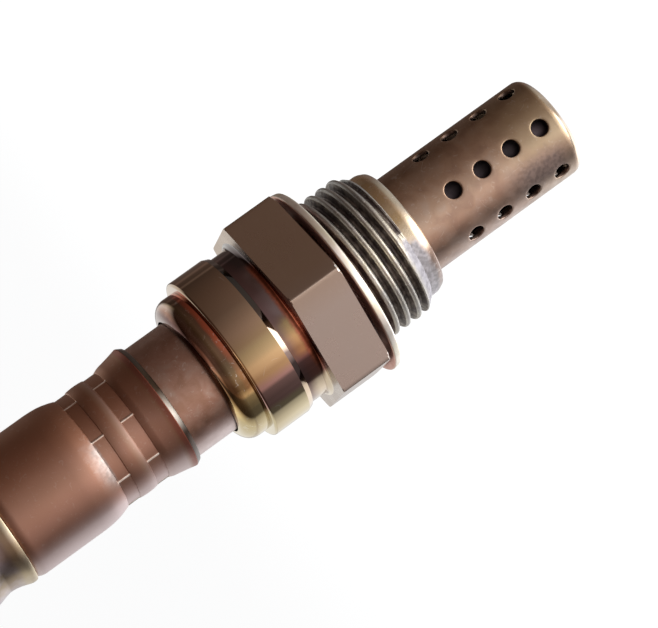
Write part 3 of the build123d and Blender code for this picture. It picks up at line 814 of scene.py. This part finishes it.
hexagon_steel = heat_tinted_steel(
    "browned hexagon steel",
    [(0.36, 0.29, 0.22), (0.39, 0.32, 0.26)],
    roughness=(0.26, 0.34),
    patch_size=6.0,
    grain_depth=0.004,
    specks=0.03,
    bands=[
        # painted light and shade on the facets: paler towards -X, darker and browner towards +X
        ("X", -3, 2, 1.0, [(0.0, (0.4, 0.34, 0.31), 0.9), (1.0, (0.36, 0.26, 0.19), 0.8)]),
    ],
)
# a pale steel for the cut at two corners: a painted glint
corner_glint_steel = heat_tinted_steel(
    "painted corner glint",
    [(0.8, 0.78, 0.74), (0.9, 0.88, 0.85)],
    roughness=(0.3, 0.4),
)
corner_radius = ACROSS_FLATS / 2 / math.cos(math.radians(30))
hexagon = bmesh.new()
bmesh.ops.create_circle(
    hexagon,
    cap_ends=True,
    segments=6,
    radius=corner_radius * MM,
    matrix=Matrix.Translation((0, 0, HEX_LOW * MM)),
)
raised = bmesh.ops.extrude_face_region(hexagon, geom=hexagon.faces[:])["geom"]
bmesh.ops.translate(
    hexagon,
    verts=[item for item in raised if isinstance(item, bmesh.types.BMVert)],
    vec=(0, 0, (HEX_HIGH - HEX_LOW) * MM),
)
upright = [e for e in hexagon.edges if abs(e.verts[0].co.z - e.verts[1].co.z) > MM]
bmesh.ops.bevel(
    hexagon,
    geom=upright,
    offset=CORNER_ROUND * MM,
    affect="EDGES",
    segments=3,
    profile=0.5,
    material=-1,
)
level = [e for e in hexagon.edges if abs(e.verts[0].co.z - e.verts[1].co.z) < 0.1 * MM]
around = [e for e in level if e.calc_length() > 5 * MM]
bmesh.ops.subdivide_edges(hexagon, edges=around, cuts=FLAT_CUTS, use_grid_fill=True)
for height in (*[HEX_LOW + step for step in LOW_LEVELS], HEX_HIGH - HIGH_LEVEL):
    cut_level(hexagon, height)
for vert in hexagon.verts:
    above = vert.co.z / MM - HEX_LOW
    below = HEX_HIGH - vert.co.z / MM
    low_limit = corner_radius - LOW_CHAMFER + above / CUTTING_SLOPE
    limit = min(low_limit, corner_radius - HIGH_CHAMFER + below / CUTTING_SLOPE)
    if radius_of(vert.co) > limit:
        stretch_out(vert.co, limit / radius_of(vert.co))
bmesh.ops.recalc_face_normals(hexagon, faces=hexagon.faces)
# the lower cut at the two corners on the Y axis gets the pale steel, a painted glint
for face in hexagon.faces:
    middle = face.calc_center_median()
    on_corner = radius_of(middle) > GLINT_RADIUS and abs(middle.x) < GLINT_SIDE * MM
    if face.normal.z < -0.4 and on_corner:
        face.material_index = 1
put_in_scene(
    hexagon,
    "shell_hexagon",
    hexagon_steel,
    corner_glint_steel,
    nodes=["shell"],
    slot="shell_steel",
    crease=20,
)

# %% [markdown]
# ## The colours of the neck, the collar and the lip
# These three were turned to a mirror shine, and the heat has tinted them. Their stripes that run
# upwards are bands along X, and they paint reflections: pale, gold and dark stretches of what stands round
# them. The ones that run round are bands along Z; on the lip they paint reflected lines, and on the neck
# shade by the collar. The collar's front chamfer is tilted and has painted dark and pale stretches of its
# own, so it gets a finish of its own too.

# %% Mix the polished steels

neck_steel = heat_tinted_steel(
    "purpled neck steel with painted reflections",
    [(0.16, 0.115, 0.11), (0.22, 0.17, 0.17)],
    roughness=(0.04, 0.08),
    patch_size=3.0,
    grain_depth=0.0004,
    bands=[
        # painted reflections: a cream edge towards -X, then dark, orange and, towards +X, near black
        # stretches
        ("X", -9, 9, 0.7, [
            (0.0, (0.52, 0.42, 0.3), 1.0), (0.044, (0.52, 0.42, 0.3), 1.0),
            (0.08, (0.24, 0.11, 0.09), 1.0), (0.2, (0.22, 0.1, 0.09), 1.0),
            (0.235, (0.44, 0.23, 0.11), 1.0), (0.33, (0.42, 0.25, 0.11), 0.9),
            (0.43, (0.34, 0.23, 0.1), 0.8), (0.5, (0.16, 0.1, 0.1), 0.2),
            (0.8, (0.16, 0.1, 0.1), 0.2), (0.87, (0.08, 0.06, 0.06), 0.9),
        ]),
        # darker towards the collar: painted shade
        ("Z", 9.3, 10.6, 0.9, [(0.0, (0.14, 0.08, 0.08), 0.0), (0.8, (0.15, 0.09, 0.09), 0.75)]),
    ],
    # the red patch on the fillet by the hexagon is a painted reflection of the hexagon's brown face
    scuff_and_sheen=((0.34, 0.11, 0.065), 0.08, [("Z", 9.1, 8.7), ("X", 6.5, 5.5), ("X", -7.5, -6.5)]),
)
collar_steel = heat_tinted_steel(
    "gilded collar steel with painted reflections",
    [(0.4, 0.26, 0.17), (0.43, 0.3, 0.18)],
    roughness=(0.03, 0.06),
    patch_size=7.0,
    grain_depth=0.0003,
    turned=0.0006,
    scratches=0.4,
    bands=[
        # painted reflections: a cream edge towards -X, a dark purple stretch and a gold highlight
        ("X", -9, 3, 0.6, [
            (0.0, (0.52, 0.44, 0.28), 1.0), (0.09, (0.5, 0.42, 0.27), 1.0),
            (0.13, (0.44, 0.27, 0.25), 0.95), (0.29, (0.45, 0.27, 0.25), 0.95),
            (0.36, (0.48, 0.31, 0.16), 0.9), (0.62, (0.44, 0.3, 0.15), 0.9),
            (0.8, (0.42, 0.28, 0.19), 0.7), (1.0, (0.4, 0.3, 0.22), 0.8),
        ]),
    ],
)
# the chamfer's pale and near black stretches are painted reflections
collar_chamfer_reflection_steel = heat_tinted_steel(
    "collar chamfer with painted reflections",
    [(0.3, 0.23, 0.18), (0.36, 0.29, 0.24)],
    roughness=(0.05, 0.1),
    patch_size=3.0,
    grain_depth=0.001,
    bands=[
        ("X", -9, 3, 0.4, [
            (0.0, (0.36, 0.28, 0.2), 1.0), (0.1, (0.36, 0.28, 0.2), 1.0),
            (0.16, (0.07, 0.045, 0.045), 1.0), (0.42, (0.07, 0.05, 0.045), 1.0),
            (0.49, (0.34, 0.27, 0.22), 1.0), (0.7, (0.34, 0.27, 0.22), 1.0),
            (0.76, (0.045, 0.035, 0.03), 1.0),
        ]),
    ],
)
lip_steel = heat_tinted_steel(
    "heat-tinted lip steel with painted reflections",
    [(0.26, 0.16, 0.1), (0.3, 0.2, 0.12)],
    roughness=(0.05, 0.1),
    patch_size=2.0,
    grain_depth=0.0006,
    specks=0.3,
    bands=[
        # painted reflected lines round the bead: red, pale and dark
        ("Z", 15.9, 18.9, 0.35, [
            (0.0, (0.34, 0.13, 0.08), 1.0), (0.1, (0.5, 0.13, 0.07), 1.0),
            (0.2, (0.44, 0.13, 0.07), 1.0), (0.3, (0.2, 0.12, 0.08), 0.9),
            (0.55, (0.26, 0.18, 0.1), 0.8), (0.68, (0.48, 0.35, 0.29), 0.9),
            (0.8, (0.34, 0.19, 0.14), 0.9), (0.92, (0.14, 0.07, 0.06), 1.0),
        ]),
        # painted reflections: cream towards -X, a bright gold highlight, then dark
        ("X", -9, 2, 1.5, [
            (0.0, (0.5, 0.42, 0.26), 1.0), (0.18, (0.48, 0.38, 0.2), 1.0),
            (0.32, (0.75, 0.55, 0.25), 0.9), (0.42, (0.22, 0.14, 0.06), 0.85),
            (0.68, (0.14, 0.09, 0.05), 0.8), (0.86, (0.2, 0.1, 0.06), 0.3),
            (1.0, (0.3, 0.16, 0.08), 0.0),
        ]),
    ],
)

# %% [markdown]
# ## The neck, the collar and the lip
# Above the hexagon the bar is turned down to a neck, then comes the broad collar, and at the end a lip is
# rolled over the packing inside. Nobody sees their inner sides, so their sections stay open. They shine
# most of all, so the lathe takes finer steps for them.

# %% Turn the neck, the collar and the lip

COLLAR_EDGE_TOP = 11.29  # just under the end of the collar's chamfer

neck = turn_on_lathe(
    [(8.5, 8.1), (10.15, 8.1), (9.55, 8.1, 0.6), (9.55, 10.62), (9.0, 10.62)],
    closed=False,
    steps=FINE_STEPS,
)
put_in_scene(neck, "shell_neck", neck_steel, nodes=["shell"], slot="shell_steel")
collar = turn_on_lathe(
    [(9.3, 10.6), (9.66, 10.6), (9.84, 10.68), (10.1, 11.3), (10.1, 15.9, 0.3), (8.9, 15.9)],
    closed=False,
    steps=FINE_STEPS,
)
# the chamfer takes its own steel, with its painted reflections
for face in collar.faces:
    if face.calc_center_median().z < COLLAR_EDGE_TOP * MM:
        face.material_index = 1
put_in_scene(
    collar,
    "shell_collar",
    collar_steel,
    collar_chamfer_reflection_steel,
    nodes=["shell"],
    slot="shell_steel",
    crease=20,
)
lip = turn_on_lathe(
    [(8.95, 15.7), (9.05, 15.95, 0.1), (9.05, 18.9, 1.7), (7.3, 18.95, 0.15), (7.3, 17.8)],
    closed=False,
    steps=FINE_STEPS,
)
put_in_scene(lip, "shell_lip", lip_steel, nodes=["shell"], slot="shell_steel")

# %% [markdown]
# ## The crush gasket
# The gasket is a strip of sheet folded into a ring. The fold makes its outer edge round, and a slit shows
# inside. It could be two rings, but one section that goes round the slit gives the fold as well. It is
# captive on the thread and hangs a quarter of a millimetre to one side.

# %% Fold the gasket

GASKET_HANGS = 0.25

gasket = turn_on_lathe(
    [
        (9.3, 0.0, 0.05), (11.52, 0.0, 0.25), (11.7, 1.0, 0.25), (9.3, 1.0, 0.05),
        (9.3, 0.6, 0.05), (11.2, 0.55, 0.04), (11.2, 0.45, 0.04), (9.3, 0.4, 0.05),
    ],
    steps=FINE_STEPS,
)
bmesh.ops.translate(gasket, verts=gasket.verts, vec=(-GASKET_HANGS * MM, 0, 0))
gasket_steel = heat_tinted_steel(
    "bright gasket sheet",
    [(0.64, 0.6, 0.48), (0.76, 0.71, 0.66)],
    roughness=(0.38, 0.48),
    patch_size=3.0,
    bands=[
        # red-brown on the upper face: a painted reflection of the hexagon and painted shade in the gap
        ("Z", 0.8, 1.0, 0.02, [(0.0, (0.44, 0.18, 0.13), 0.0), (1.0, (0.44, 0.18, 0.13), 0.9)]),
    ],
)
put_in_scene(gasket, "crush_gasket", gasket_steel, nodes=["gasket"], slot="gasket_steel")

# %% [markdown]
# ## The tube
# A tube rises from the lip and carries the sleeve. It is drawn sheet that steps in where the sleeve is
# crimped on it. Only its lower end shows, satin brown with a pale stripe towards -X that is a painted
# highlight, and one closed section makes the whole of it.

# %% Turn the tube

tube = turn_on_lathe(
    [
        (6.55, 16.0), (7.95, 16.0), (7.95, 16.5), (7.05, 16.5), (7.05, 25.0, 1.0),
        (6.38, 27.95, 1.0), (6.38, 34.9), (5.88, 34.9), (5.88, 27.95), (6.55, 25.0),
    ]
)
tube_steel = heat_tinted_steel(
    "satin tube steel",
    [(0.3, 0.17, 0.12), (0.34, 0.2, 0.15), (0.36, 0.24, 0.19)],
    roughness=(0.36, 0.46),
    patch_size=2.0,
    specks=0.15,
    bands=[
        # pale towards -X: a painted highlight along the edge
        ("X", -7.2, -4.8, 0.3, [
            (0, (0.64, 0.56, 0.56), 0.9),
            (0.4, (0.6, 0.5, 0.49), 0.85),
            (1, (0.36, 0.2, 0.18), 0),
        ]),
    ],
)
put_in_scene(tube, "inner_cover_tube", tube_steel, nodes=["inner_cover"], slot="tube_steel")

# %% [markdown]
# ## The colours of the sleeve
# The sleeve is satin brown. Bands paint it darker towards +X, as shade, and paler towards -X and on the
# ring between the crimps, as highlights, and dark red by the mouth. One paler patch beside the upper crimp
# is a painted highlight. Its sheared mouth is painted dark with one pale stretch, as shade and a highlight,
# and the thin ridges that the jaws left between them are painted bright, as highlights. Each of the three
# is a steel of its own, because a band along an axis couldn't follow the ridges.

# %% Mix the steels of the sleeve

sleeve_steel = heat_tinted_steel(
    "satin brown sleeve",
    [(0.33, 0.18, 0.125), (0.36, 0.2, 0.15)],
    roughness=(0.43, 0.5),
    patch_size=8.0,
    specks=0.08,
    bands=[
        # darker towards +X: painted shade
        ("X", -1, 7, 1.0, [
            (0, (0.33, 0.17, 0.11), 0),
            (0.4, (0.33, 0.16, 0.1), 0.8),
            (1, (0.29, 0.13, 0.07), 0.9),
        ]),
        # a pale band on the ring between the crimps: a painted highlight
        ("Z", 29.4, 30.6, 0.2, [
            (0.0, (0.44, 0.31, 0.26), 0.0),
            (0.3, (0.44, 0.31, 0.26), 0.7),
            (1, (0.4, 0.3, 0.2), 0),
        ]),
        # pale towards -X: a painted highlight
        ("X", -7.6, -4.8, 0.3, [
            (0, (0.6, 0.52, 0.53), 0.9),
            (0.4, (0.56, 0.46, 0.46), 0.85),
            (1, (0.36, 0.2, 0.18), 0),
        ]),
        ("Z", 24.6, 25.7, 0.3, [
            (0.0, (0.28, 0.09, 0.06), 0.9),
            (0.5, (0.28, 0.1, 0.07), 0.7),
            (1, (0.3, 0.2, 0.1), 0),
        ]),
    ],
    # the patch beside the upper crimp is a painted highlight
    scuff_and_sheen=((0.42, 0.36, 0.34), 0.42, [
        ("X", 1.2, -0.6),
        ("X", -5.2, -3.9),
        ("Z", 33.1, 33.4),
        ("Z", 35.2, 33.5),
    ]),
)
mouth_steel = heat_tinted_steel(
    "sleeve mouth in painted shade and highlight",
    [(0.1, 0.065, 0.05), (0.13, 0.09, 0.07)],
    roughness=(0.28, 0.36),
    patch_size=3.0,
    bands=[
        # painted shade with one pale stretch, a painted highlight
        ("X", -5, 1, 1.0, [
            (0.1, (0.035, 0.022, 0.016), 1),
            (0.45, (0.24, 0.22, 0.2), 1),
            (1.0, (0.045, 0.03, 0.02), 1),
        ]),
    ],
)
# the ridges between the jaws are painted bright: a painted highlight
ridge_highlight_steel = heat_tinted_steel(
    "ridges painted bright",
    [(0.5, 0.4, 0.34), (0.66, 0.58, 0.52)],
    roughness=(0.2, 0.3),
    patch_size=0.6,
)

# %% [markdown]
# ## The crimped sleeve
# The sleeve is pressed on the tube by eight jaws at two heights. Each jaw leaves a flat-bottomed mark
# with crisp ends, and between two jaws a thin ridge stays. Eight cuts would leave untidy corners. We turn
# the sleeve with the shape that it has between the jaws, in steps of one degree, and press the marks in
# afterwards. The four air holes in the real sleeve's neck lie under the vent cover and are left out.

# %% Turn the sleeve

SLEEVE_STEPS = 360
CRIMPS = ((27.95, 29.55), (31.8, 33.4))  # from and to, in mm above the gasket's lower face


def crimp_section(low, high):
    """The corners of one crimp mark, with its two short steep ends."""
    lower_end = [(6.96, low - 0.02), (6.93, low + 0.04)]
    upper_end = [(6.93, high - 0.04), (6.96, high + 0.02)]
    return [*lower_end, (6.92, (low + high) / 2), *upper_end]


sleeve = turn_on_lathe(
    [
        (7.09, 24.0, 0.04), (7.38, 24.08, 0.05), (7.725, 24.68, 0.08), (7.64, 25.05, 0.3),
        (7.38, 26.2, 0.9), (7.18, 27.4, 0.4),
        *crimp_section(*CRIMPS[0]),
        (7.15, 30.68, 1.0),
        *crimp_section(*CRIMPS[1]),
        (7.3, 34.35, 0.7), (7.6, 35.9, 1.2), (7.6, 46.1, 1.5), (6.55, 46.1), (6.55, 59.2, 0.3),
        (6.2, 60.2, 0.5), (6.55, 61.2, 0.3), (6.55, 62.6, 0.55), (5.4, 62.6, 0.1),
        (5.4, 62.1, 0.1), (6.05, 62.1), (6.05, 61.2), (5.7, 60.2), (6.05, 59.2), (6.05, 45.6),
        (7.1, 44.6), (7.1, 35.6), (6.4, 33.4), (6.4, 27.95), (7.09, 25.75),
    ],
    steps=SLEEVE_STEPS,
)
print("sleeve turned,", len(sleeve.faces), "faces")

# %% [markdown]
# ## The marks of the jaws
# A jaw has a flat face, so it presses deepest in the middle of its mark and less towards the ridges. For
# each point we ask how far round it is from the nearest ridge: the further, the deeper it is moved in. A
# jaw could be modelled and subtracted, but a formula gives clean faces. The ridges stand a hair proud.

# %% Press the jaw marks

JAWS = 8
JAW_ANGLE = 360 / JAWS
FIRST_RIDGE = -86.0
PRESS = 0.12
RIDGE_RISE = 0.02
RIDGE_SIDE, PALE_SIDE = 0.9, 1.1  # degrees to each side of a ridge
SKIN, PRESSED_SKIN = 6.85, 6.8  # radii that part the outside from the bore
MOUTH_TOP = 24.68


def from_ridge(co):
    """How far round a point is from the nearest ridge, in degrees."""
    turn = (turn_of(co) - FIRST_RIDGE) % JAW_ANGLE
    return min(turn, JAW_ANGLE - turn)


def in_crimp(co):
    """Whether a point is at the height of a crimp."""
    return any(low <= co.z / MM <= high for low, high in CRIMPS)


ridge_turn = Matrix.Rotation(math.radians(FIRST_RIDGE), 3, "Z")
bmesh.ops.rotate(sleeve, verts=sleeve.verts, cent=(0, 0, 0), matrix=ridge_turn)
for vert in sleeve.verts:
    radius = radius_of(vert.co)
    if radius >= SKIN and in_crimp(vert.co):
        share = 1 - from_ridge(vert.co) / (JAW_ANGLE / 2)
        depth = PRESS * (1 - 0.5 * share**2) if from_ridge(vert.co) > RIDGE_SIDE else -RIDGE_RISE
        stretch_out(vert.co, (radius - depth) / radius)
for face in sleeve.faces:
    middle = face.calc_center_median()
    # the ridges take the pale steel, a painted highlight
    if from_ridge(middle) < PALE_SIDE and in_crimp(middle) and radius_of(middle) > PRESSED_SKIN:
        face.material_index = 1
    # the mouth's end face takes the dark steel, painted shade with a painted highlight
    if middle.z < MOUTH_TOP * MM and face.normal.z < -0.2:
        face.material_index = 2
put_in_scene(
    sleeve,
    "outer_sleeve_crimped",
    sleeve_steel,
    ridge_highlight_steel,
    mouth_steel,
    nodes=["outer_sleeve"],
    slot="sleeve_steel",
)

# %% [markdown]
# ## The bright vent cover
# The ring at the rear covers a porous filter, and is pinched on the sleeve's neck below and above it. A
# turned section gives both waists at once. The real ring has four small vent holes between them. They
# could be cut with a boolean, but are left out here, so this ring is plain.

# %% Turn the vent cover

bright_steel = heat_tinted_steel(
    "bright cover sheet",
    [(0.34, 0.27, 0.2), (0.4, 0.34, 0.32), (0.44, 0.39, 0.42)],
    roughness=(0.3, 0.38),
    patch_size=2.6,
    grain_depth=0.001,
    bands=[
        ("Z", 46.2, 48.0, 0.5, [
            (0.0, (0.5, 0.42, 0.28), 0.8),
            (0.5, (0.5, 0.42, 0.28), 0.7),
            (1, (0.4, 0.35, 0.35), 0),
        ]),
    ],
)
vent_cover = turn_on_lathe(
    [
        (7.2, 45.85, 0.05), (7.55, 45.8, 0.1), (7.66, 46.35, 0.35), (7.0, 48.25, 0.7),
        (7.0, 49.25, 0.7), (7.55, 51.2, 0.8), (7.55, 54.6, 0.8), (6.97, 56.4, 0.6),
        (6.97, 57.6, 0.08), (6.57, 57.6), (6.57, 56.4), (7.15, 54.6), (7.15, 51.2),
        (6.57, 49.25), (6.57, 48.25), (7.23, 46.4),
    ],
    steps=FINE_STEPS,
)
put_in_scene(vent_cover, "vent_cover_ring", bright_steel, nodes=["vent_cover"], slot="bright_steel")

# %% [markdown]
# ## What the steel mirrors
# Polished steel shows what stands round it, so what it mirrors is arranged before any lamp is hung. Cards
# could be stood round the sensor. Here the world plays that part, because its light depends on a
# direction alone and only mirrored rays are let to see it: white paper on the right and below, dark felt
# on the left and above the camera, and white paper again behind.

# %% Arrange what the steel mirrors

VIEW_AZIMUTH = -92.97  # degrees, from the sensor to the camera
DIMMING = 4  # a ramp clips at 1, so its levels are kept at a quarter
# degrees round from the camera, level of the light, and how warm it is
ROUND_STOPS = [
    (-178, 0.50, 0.2), (-160, 0.14, 1), (-146, 0.14, 1), (-139, 0.24, 1), (-133, 0.12, 1),
    (-125, 0.11, 1), (-121, 0.24, 0.8), (-117, 0.10, 1), (-82, 0.19, 1), (-60, 0.25, 0.9),
    (-46, 0.29, 0.8), (-30, 0.44, 0.6), (-15, 0.62, 0.4), (2, 0.72, 0.3), (10, 0.92, 0),
    (22, 1.25, 0), (30, 1.60, 0.2), (38, 1.45, 0.3), (46, 1.00, 0.5), (62, 0.90, 0.6),
    (67, 0.32, 0.3), (80, 0.19, 0.25), (104, 0.17, 0.25), (108, 0.66, 0), (120, 1.05, 0),
    (136, 1.35, 0), (160, 1.20, 0), (172, 0.80, 0),
]
# degrees up from level, level of the light, and how warm it is
HEIGHT_STOPS = [
    (-90, 1.6, 0), (-73, 2.2, 0), (-58, 2.7, 0), (-45, 2.5, 0), (-31, 1.75, 0), (-17, 1.2, 0),
    (-10.8, 1.0, 0), (0, 0.62, 0.3), (12, 0.40, 0.8), (30, 0.26, 1.4), (58, 0.30, 1.2),
    (70, 1.20, 0.8), (90, 1.50, 0.6),
]


def warmed(level, warm, green_loss, blue_loss):
    """A grey light, warmed by what it loses of its green and blue."""
    return (level, level * (1 - green_loss * warm), level * (1 - blue_loss * warm))


world = bpy.data.worlds.new("studio air")
bpy.context.scene.world = world
world.use_nodes = True
air = FinishBench(world.node_tree, "Generated")
along = air.along()


def light_ramp(source, stops):
    """A ramp of dimmed light."""
    return air.ramp(source, [(at, [c / DIMMING for c in light]) for at, light in sorted(stops)])


sweep = air.add("TexGradient", {"Vector": air.place}, gradient_type="RADIAL").outputs["Fac"]
round_stops = [
    (((VIEW_AZIMUTH - turn + 180) % 360) / 360, warmed(level, warm, 0.27, 0.38))
    for turn, level, warm in ROUND_STOPS
]
height_stops = [
    ((math.sin(math.radians(angle)) + 1) / 2, warmed(level, warm, 0.2, 0.3))
    for angle, level, warm in HEIGHT_STOPS
]
round_light = light_ramp(sweep, round_stops)
height_light = light_ramp(air.rise(along["Z"], -1, 1), height_stops)
mirrored = air.work_out_colour("MULTIPLY", round_light, height_light)
mirrored = air.work_out_colour("MULTIPLY", mirrored, (DIMMING**2,) * 3)
print("the steel mirrors", len(ROUND_STOPS), "lights round it and", len(HEIGHT_STOPS), "up and down")

# %% [markdown]
# ## Paper and one strong lamp
# Three things are laid over those lights: a sheet of paper below, a strong low lamp that glints on edges
# that tilt downwards, and a card behind the sensor. A real lamp could be hung, but it would light the
# floor as well and throw a shadow. The last two mixes hide all of it from everything but mirrored rays.

# %% Add the paper and the low lamp

PAPER = (0.9, 0.88, 0.85)
LOW_LAMP = (30, -60)  # degrees round from the camera, and up
LAMP_EDGE = (0.88, 0.97)
LAMP_LIGHT = (5.5, 5.4, 5.2)
CARD_LIGHT = (1.05, 1.04, 1.0)
PLAIN_AIR = (0.72, 0.73, 0.76)

paper = air.blend(air.rise(along["Z"], -0.5, -0.8), (0, 0, 0), PAPER)
mirrored = air.work_out_colour("MAXIMUM", mirrored, paper)
lamp_turn = math.radians(VIEW_AZIMUTH - LOW_LAMP[0])
lamp_rise = math.radians(LOW_LAMP[1])
level_reach = math.cos(lamp_rise)
to_lamp = (math.cos(lamp_turn) * level_reach, math.sin(lamp_turn) * level_reach, math.sin(lamp_rise))
facing = air.add("VectorMath", {0: air.place, 1: to_lamp}, operation="DOT_PRODUCT").outputs["Value"]
mirrored = air.blend(air.rise(facing, *LAMP_EDGE), mirrored, LAMP_LIGHT)
behind = air.work_out("MULTIPLY", air.rise(along["Y"], 0.25, 0.6), air.rise(along["Z"], -0.04, 0.08))
mirrored = air.blend(behind, mirrored, CARD_LIGHT)
rays = air.add("LightPath", {}).outputs
seen = air.blend(rays["Is Glossy Ray"], PLAIN_AIR, mirrored)
seen = air.blend(rays["Is Camera Ray"], seen, (1, 1, 1))
background = world.node_tree.nodes["Background"]
world.node_tree.links.new(seen, background.inputs["Color"])
background.inputs["Strength"].default_value = 1.0
print("low lamp at", LOW_LAMP, "degrees")

# %% [markdown]
# ## The floor
# The sensor floats above a wide pale floor, so its shadow stays soft and far away. A plain white floor
# would come out grey in shade. So the camera sees it mostly glow, while other rays meet matt paint, and
# the steel doesn't mirror it at all.

# %% Lay the floor

FLOOR_HEIGHT = -0.15
FLOOR_RADIUS = 8.0
GLOW_SHARE = 0.9

floor = bmesh.new()
bmesh.ops.create_circle(floor, cap_ends=True, segments=64, radius=FLOOR_RADIUS)
bmesh.ops.translate(floor, verts=floor.verts, vec=(0, 0, FLOOR_HEIGHT))
floor_data = bpy.data.meshes.new("pale_floor")
floor.to_mesh(floor_data)
floor.free()
pale_floor = bpy.data.objects.new("pale_floor", floor_data)
bpy.context.scene.collection.objects.link(pale_floor)
pale_floor.visible_glossy = False

floor_paint = bpy.data.materials.new("pale floor paint")
floor_paint.use_nodes = True
floor_paint.node_tree.nodes.clear()
bench = FinishBench(floor_paint.node_tree)
matt = bench.add("BsdfDiffuse", {"Color": (0.9, 0.9, 0.9)}).outputs["BSDF"]
glow = bench.add("Emission", {"Color": (1, 1, 1)}).outputs["Emission"]
camera_ray = bench.add("LightPath", {}).outputs["Is Camera Ray"]
share = bench.work_out("MULTIPLY", camera_ray, GLOW_SHARE)
mixed = bench.add("MixShader", {0: share, 1: matt, 2: glow}).outputs["Shader"]
bench.add("OutputMaterial", {"Surface": mixed})
floor_data.materials.append(floor_paint)
print("floor", FLOOR_RADIUS * 2, "m wide")

# %% [markdown]
# ## The lamps
# Three soft boxes light what isn't metal: one in front, one at the side and one behind, so no side is
# left dark. Small lamps would throw hard shadows. The boxes are hidden from mirrored rays, because the
# world already says what the steel mirrors.

# %% Hang the lamps

MIDDLE = (0, 0, 0.012)
# place in metres, width, height and power in watts
SOFT_BOXES = {
    "front_softbox": ((-0.35, -0.75, 0.55), 0.5, 0.5, 12),
    "side_softbox": ((-0.9, 0.1, 0.35), 0.5, 0.7, 6),
    "back_softbox": ((0.5, 0.8, 0.5), 0.6, 0.6, 8),
}

for name, (place, width, height, power) in SOFT_BOXES.items():
    lamp = bpy.data.lights.new(name, "AREA")
    lamp.shape = "RECTANGLE"
    lamp.size = width
    lamp.size_y = height
    lamp.energy = power
    box = bpy.data.objects.new(name, lamp)
    bpy.context.scene.collection.objects.link(box)
    aim = (Vector(MIDDLE) - Vector(place)).to_track_quat("-Z", "Y")
    box.matrix_world = Matrix.Translation(place) @ aim.to_matrix().to_4x4()
    box.visible_glossy = False
bpy.context.scene.view_settings.view_transform = "Standard"
print(len(SOFT_BOXES), "soft boxes hung")

# %% [markdown]
# ## The camera
# A long lens from a third of a metre keeps the cylinders straight and still shows some depth. The camera
# could be aimed with a constraint, but the sensor lies across the picture, so the camera is also rolled.
# Its three axes say all of that at once: where its right, its top and its back point to.

# %% Set the camera

SENSOR_WIDTH = 36  # mm, of the camera's film
LENS = 184.25
CAMERA_PLACE = Vector((-21.64, -362.52, 72.47))  # mm
CAMERA_RIGHT = Vector((-0.59352, -0.12141, -0.79560))
CAMERA_UP = Vector((0.80320, -0.15187, -0.57601))
CAMERA_BACK = Vector((-0.05089, -0.98090, 0.18766))

camera_data = bpy.data.cameras.new("camera")
camera_data.sensor_width = SENSOR_WIDTH
camera_data.lens = LENS
camera = bpy.data.objects.new("camera", camera_data)
bpy.context.scene.collection.objects.link(camera)
turned = Matrix((CAMERA_RIGHT, CAMERA_UP, CAMERA_BACK)).transposed().to_4x4()
camera.matrix_world = Matrix.Translation(CAMERA_PLACE * MM) @ turned
bpy.context.scene.camera = camera
print("camera", round(CAMERA_PLACE.length), "mm away")

# %% [markdown]
# ## Hidden pieces
# The pieces inside keep their measured shapes. Modelling them again would show nothing new, but each
# still gets a finish of its own, for whoever takes the sensor apart: ceramics, packed powder, springs,
# contacts and rubber.

# %% Finish the inner pieces


def plain_finish(name, colour, roughness, grain_size, grain_depth, metallic=0.0, wander=0.12):
    """A matt or metallic finish with a little wander in its colour and a fine grain."""
    finish, shader, bench = start_finish(name, metallic)
    shader.inputs["Roughness"].default_value = roughness
    dark = [c * (1 - wander) for c in colour]
    pale = [min(1, c * (1 + wander)) for c in colour]
    tint = bench.ramp(bench.noise(2.5, 4), [(0.35, dark), (0.65, pale)])
    bench.tree.links.new(tint, shader.inputs["Base Color"])
    relief = bench.relief(bench.noise(grain_size, 3), grain_depth)
    bench.tree.links.new(relief, shader.inputs["Normal"])
    return finish


zirconia = plain_finish("porous zirconia", (0.82, 0.80, 0.74), 0.6, 0.12, 0.01)
alumina = plain_finish("white alumina", (0.86, 0.85, 0.81), 0.5, 0.2, 0.004, wander=0.04)
talc = plain_finish("packed talc", (0.72, 0.72, 0.68), 0.9, 0.15, 0.02)
spring_steel = plain_finish("bare steel", (0.55, 0.54, 0.52), 0.32, 0.1, 0.003, metallic=1.0)
nickel = plain_finish("nickel plate", (0.66, 0.63, 0.58), 0.22, 0.1, 0.002, metallic=1.0, wander=0.06)
felt = plain_finish("porous white filter", (0.85, 0.85, 0.83), 0.8, 0.08, 0.012)
rubber = plain_finish("black rubber", (0.022, 0.022, 0.023), 0.55, 0.1, 0.006, wander=0.25)
inner_finishes = {
    "sensing_element": zirconia,
    "heater_rod": alumina,
    "ceramic_bushing": alumina,
    "terminal_insulator": alumina,
    "talc_ring": talc,
    "seat_washer": spring_steel,
    "caulking_ring": spring_steel,
    "spring_washer": spring_steel,
    "signal_contact": nickel,
    "ground_contact": nickel,
    "heater_contact_a": nickel,
    "heater_contact_b": nickel,
    "vent_filter": felt,
    "rubber_grommet": rubber,
}
for node_name, finish in inner_finishes.items():
    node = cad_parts[node_name]
    for material_slot in node.material_slots:
        material_slot.link = "OBJECT"
        material_slot.material = finish
print(len(inner_finishes), "inner pieces finished")
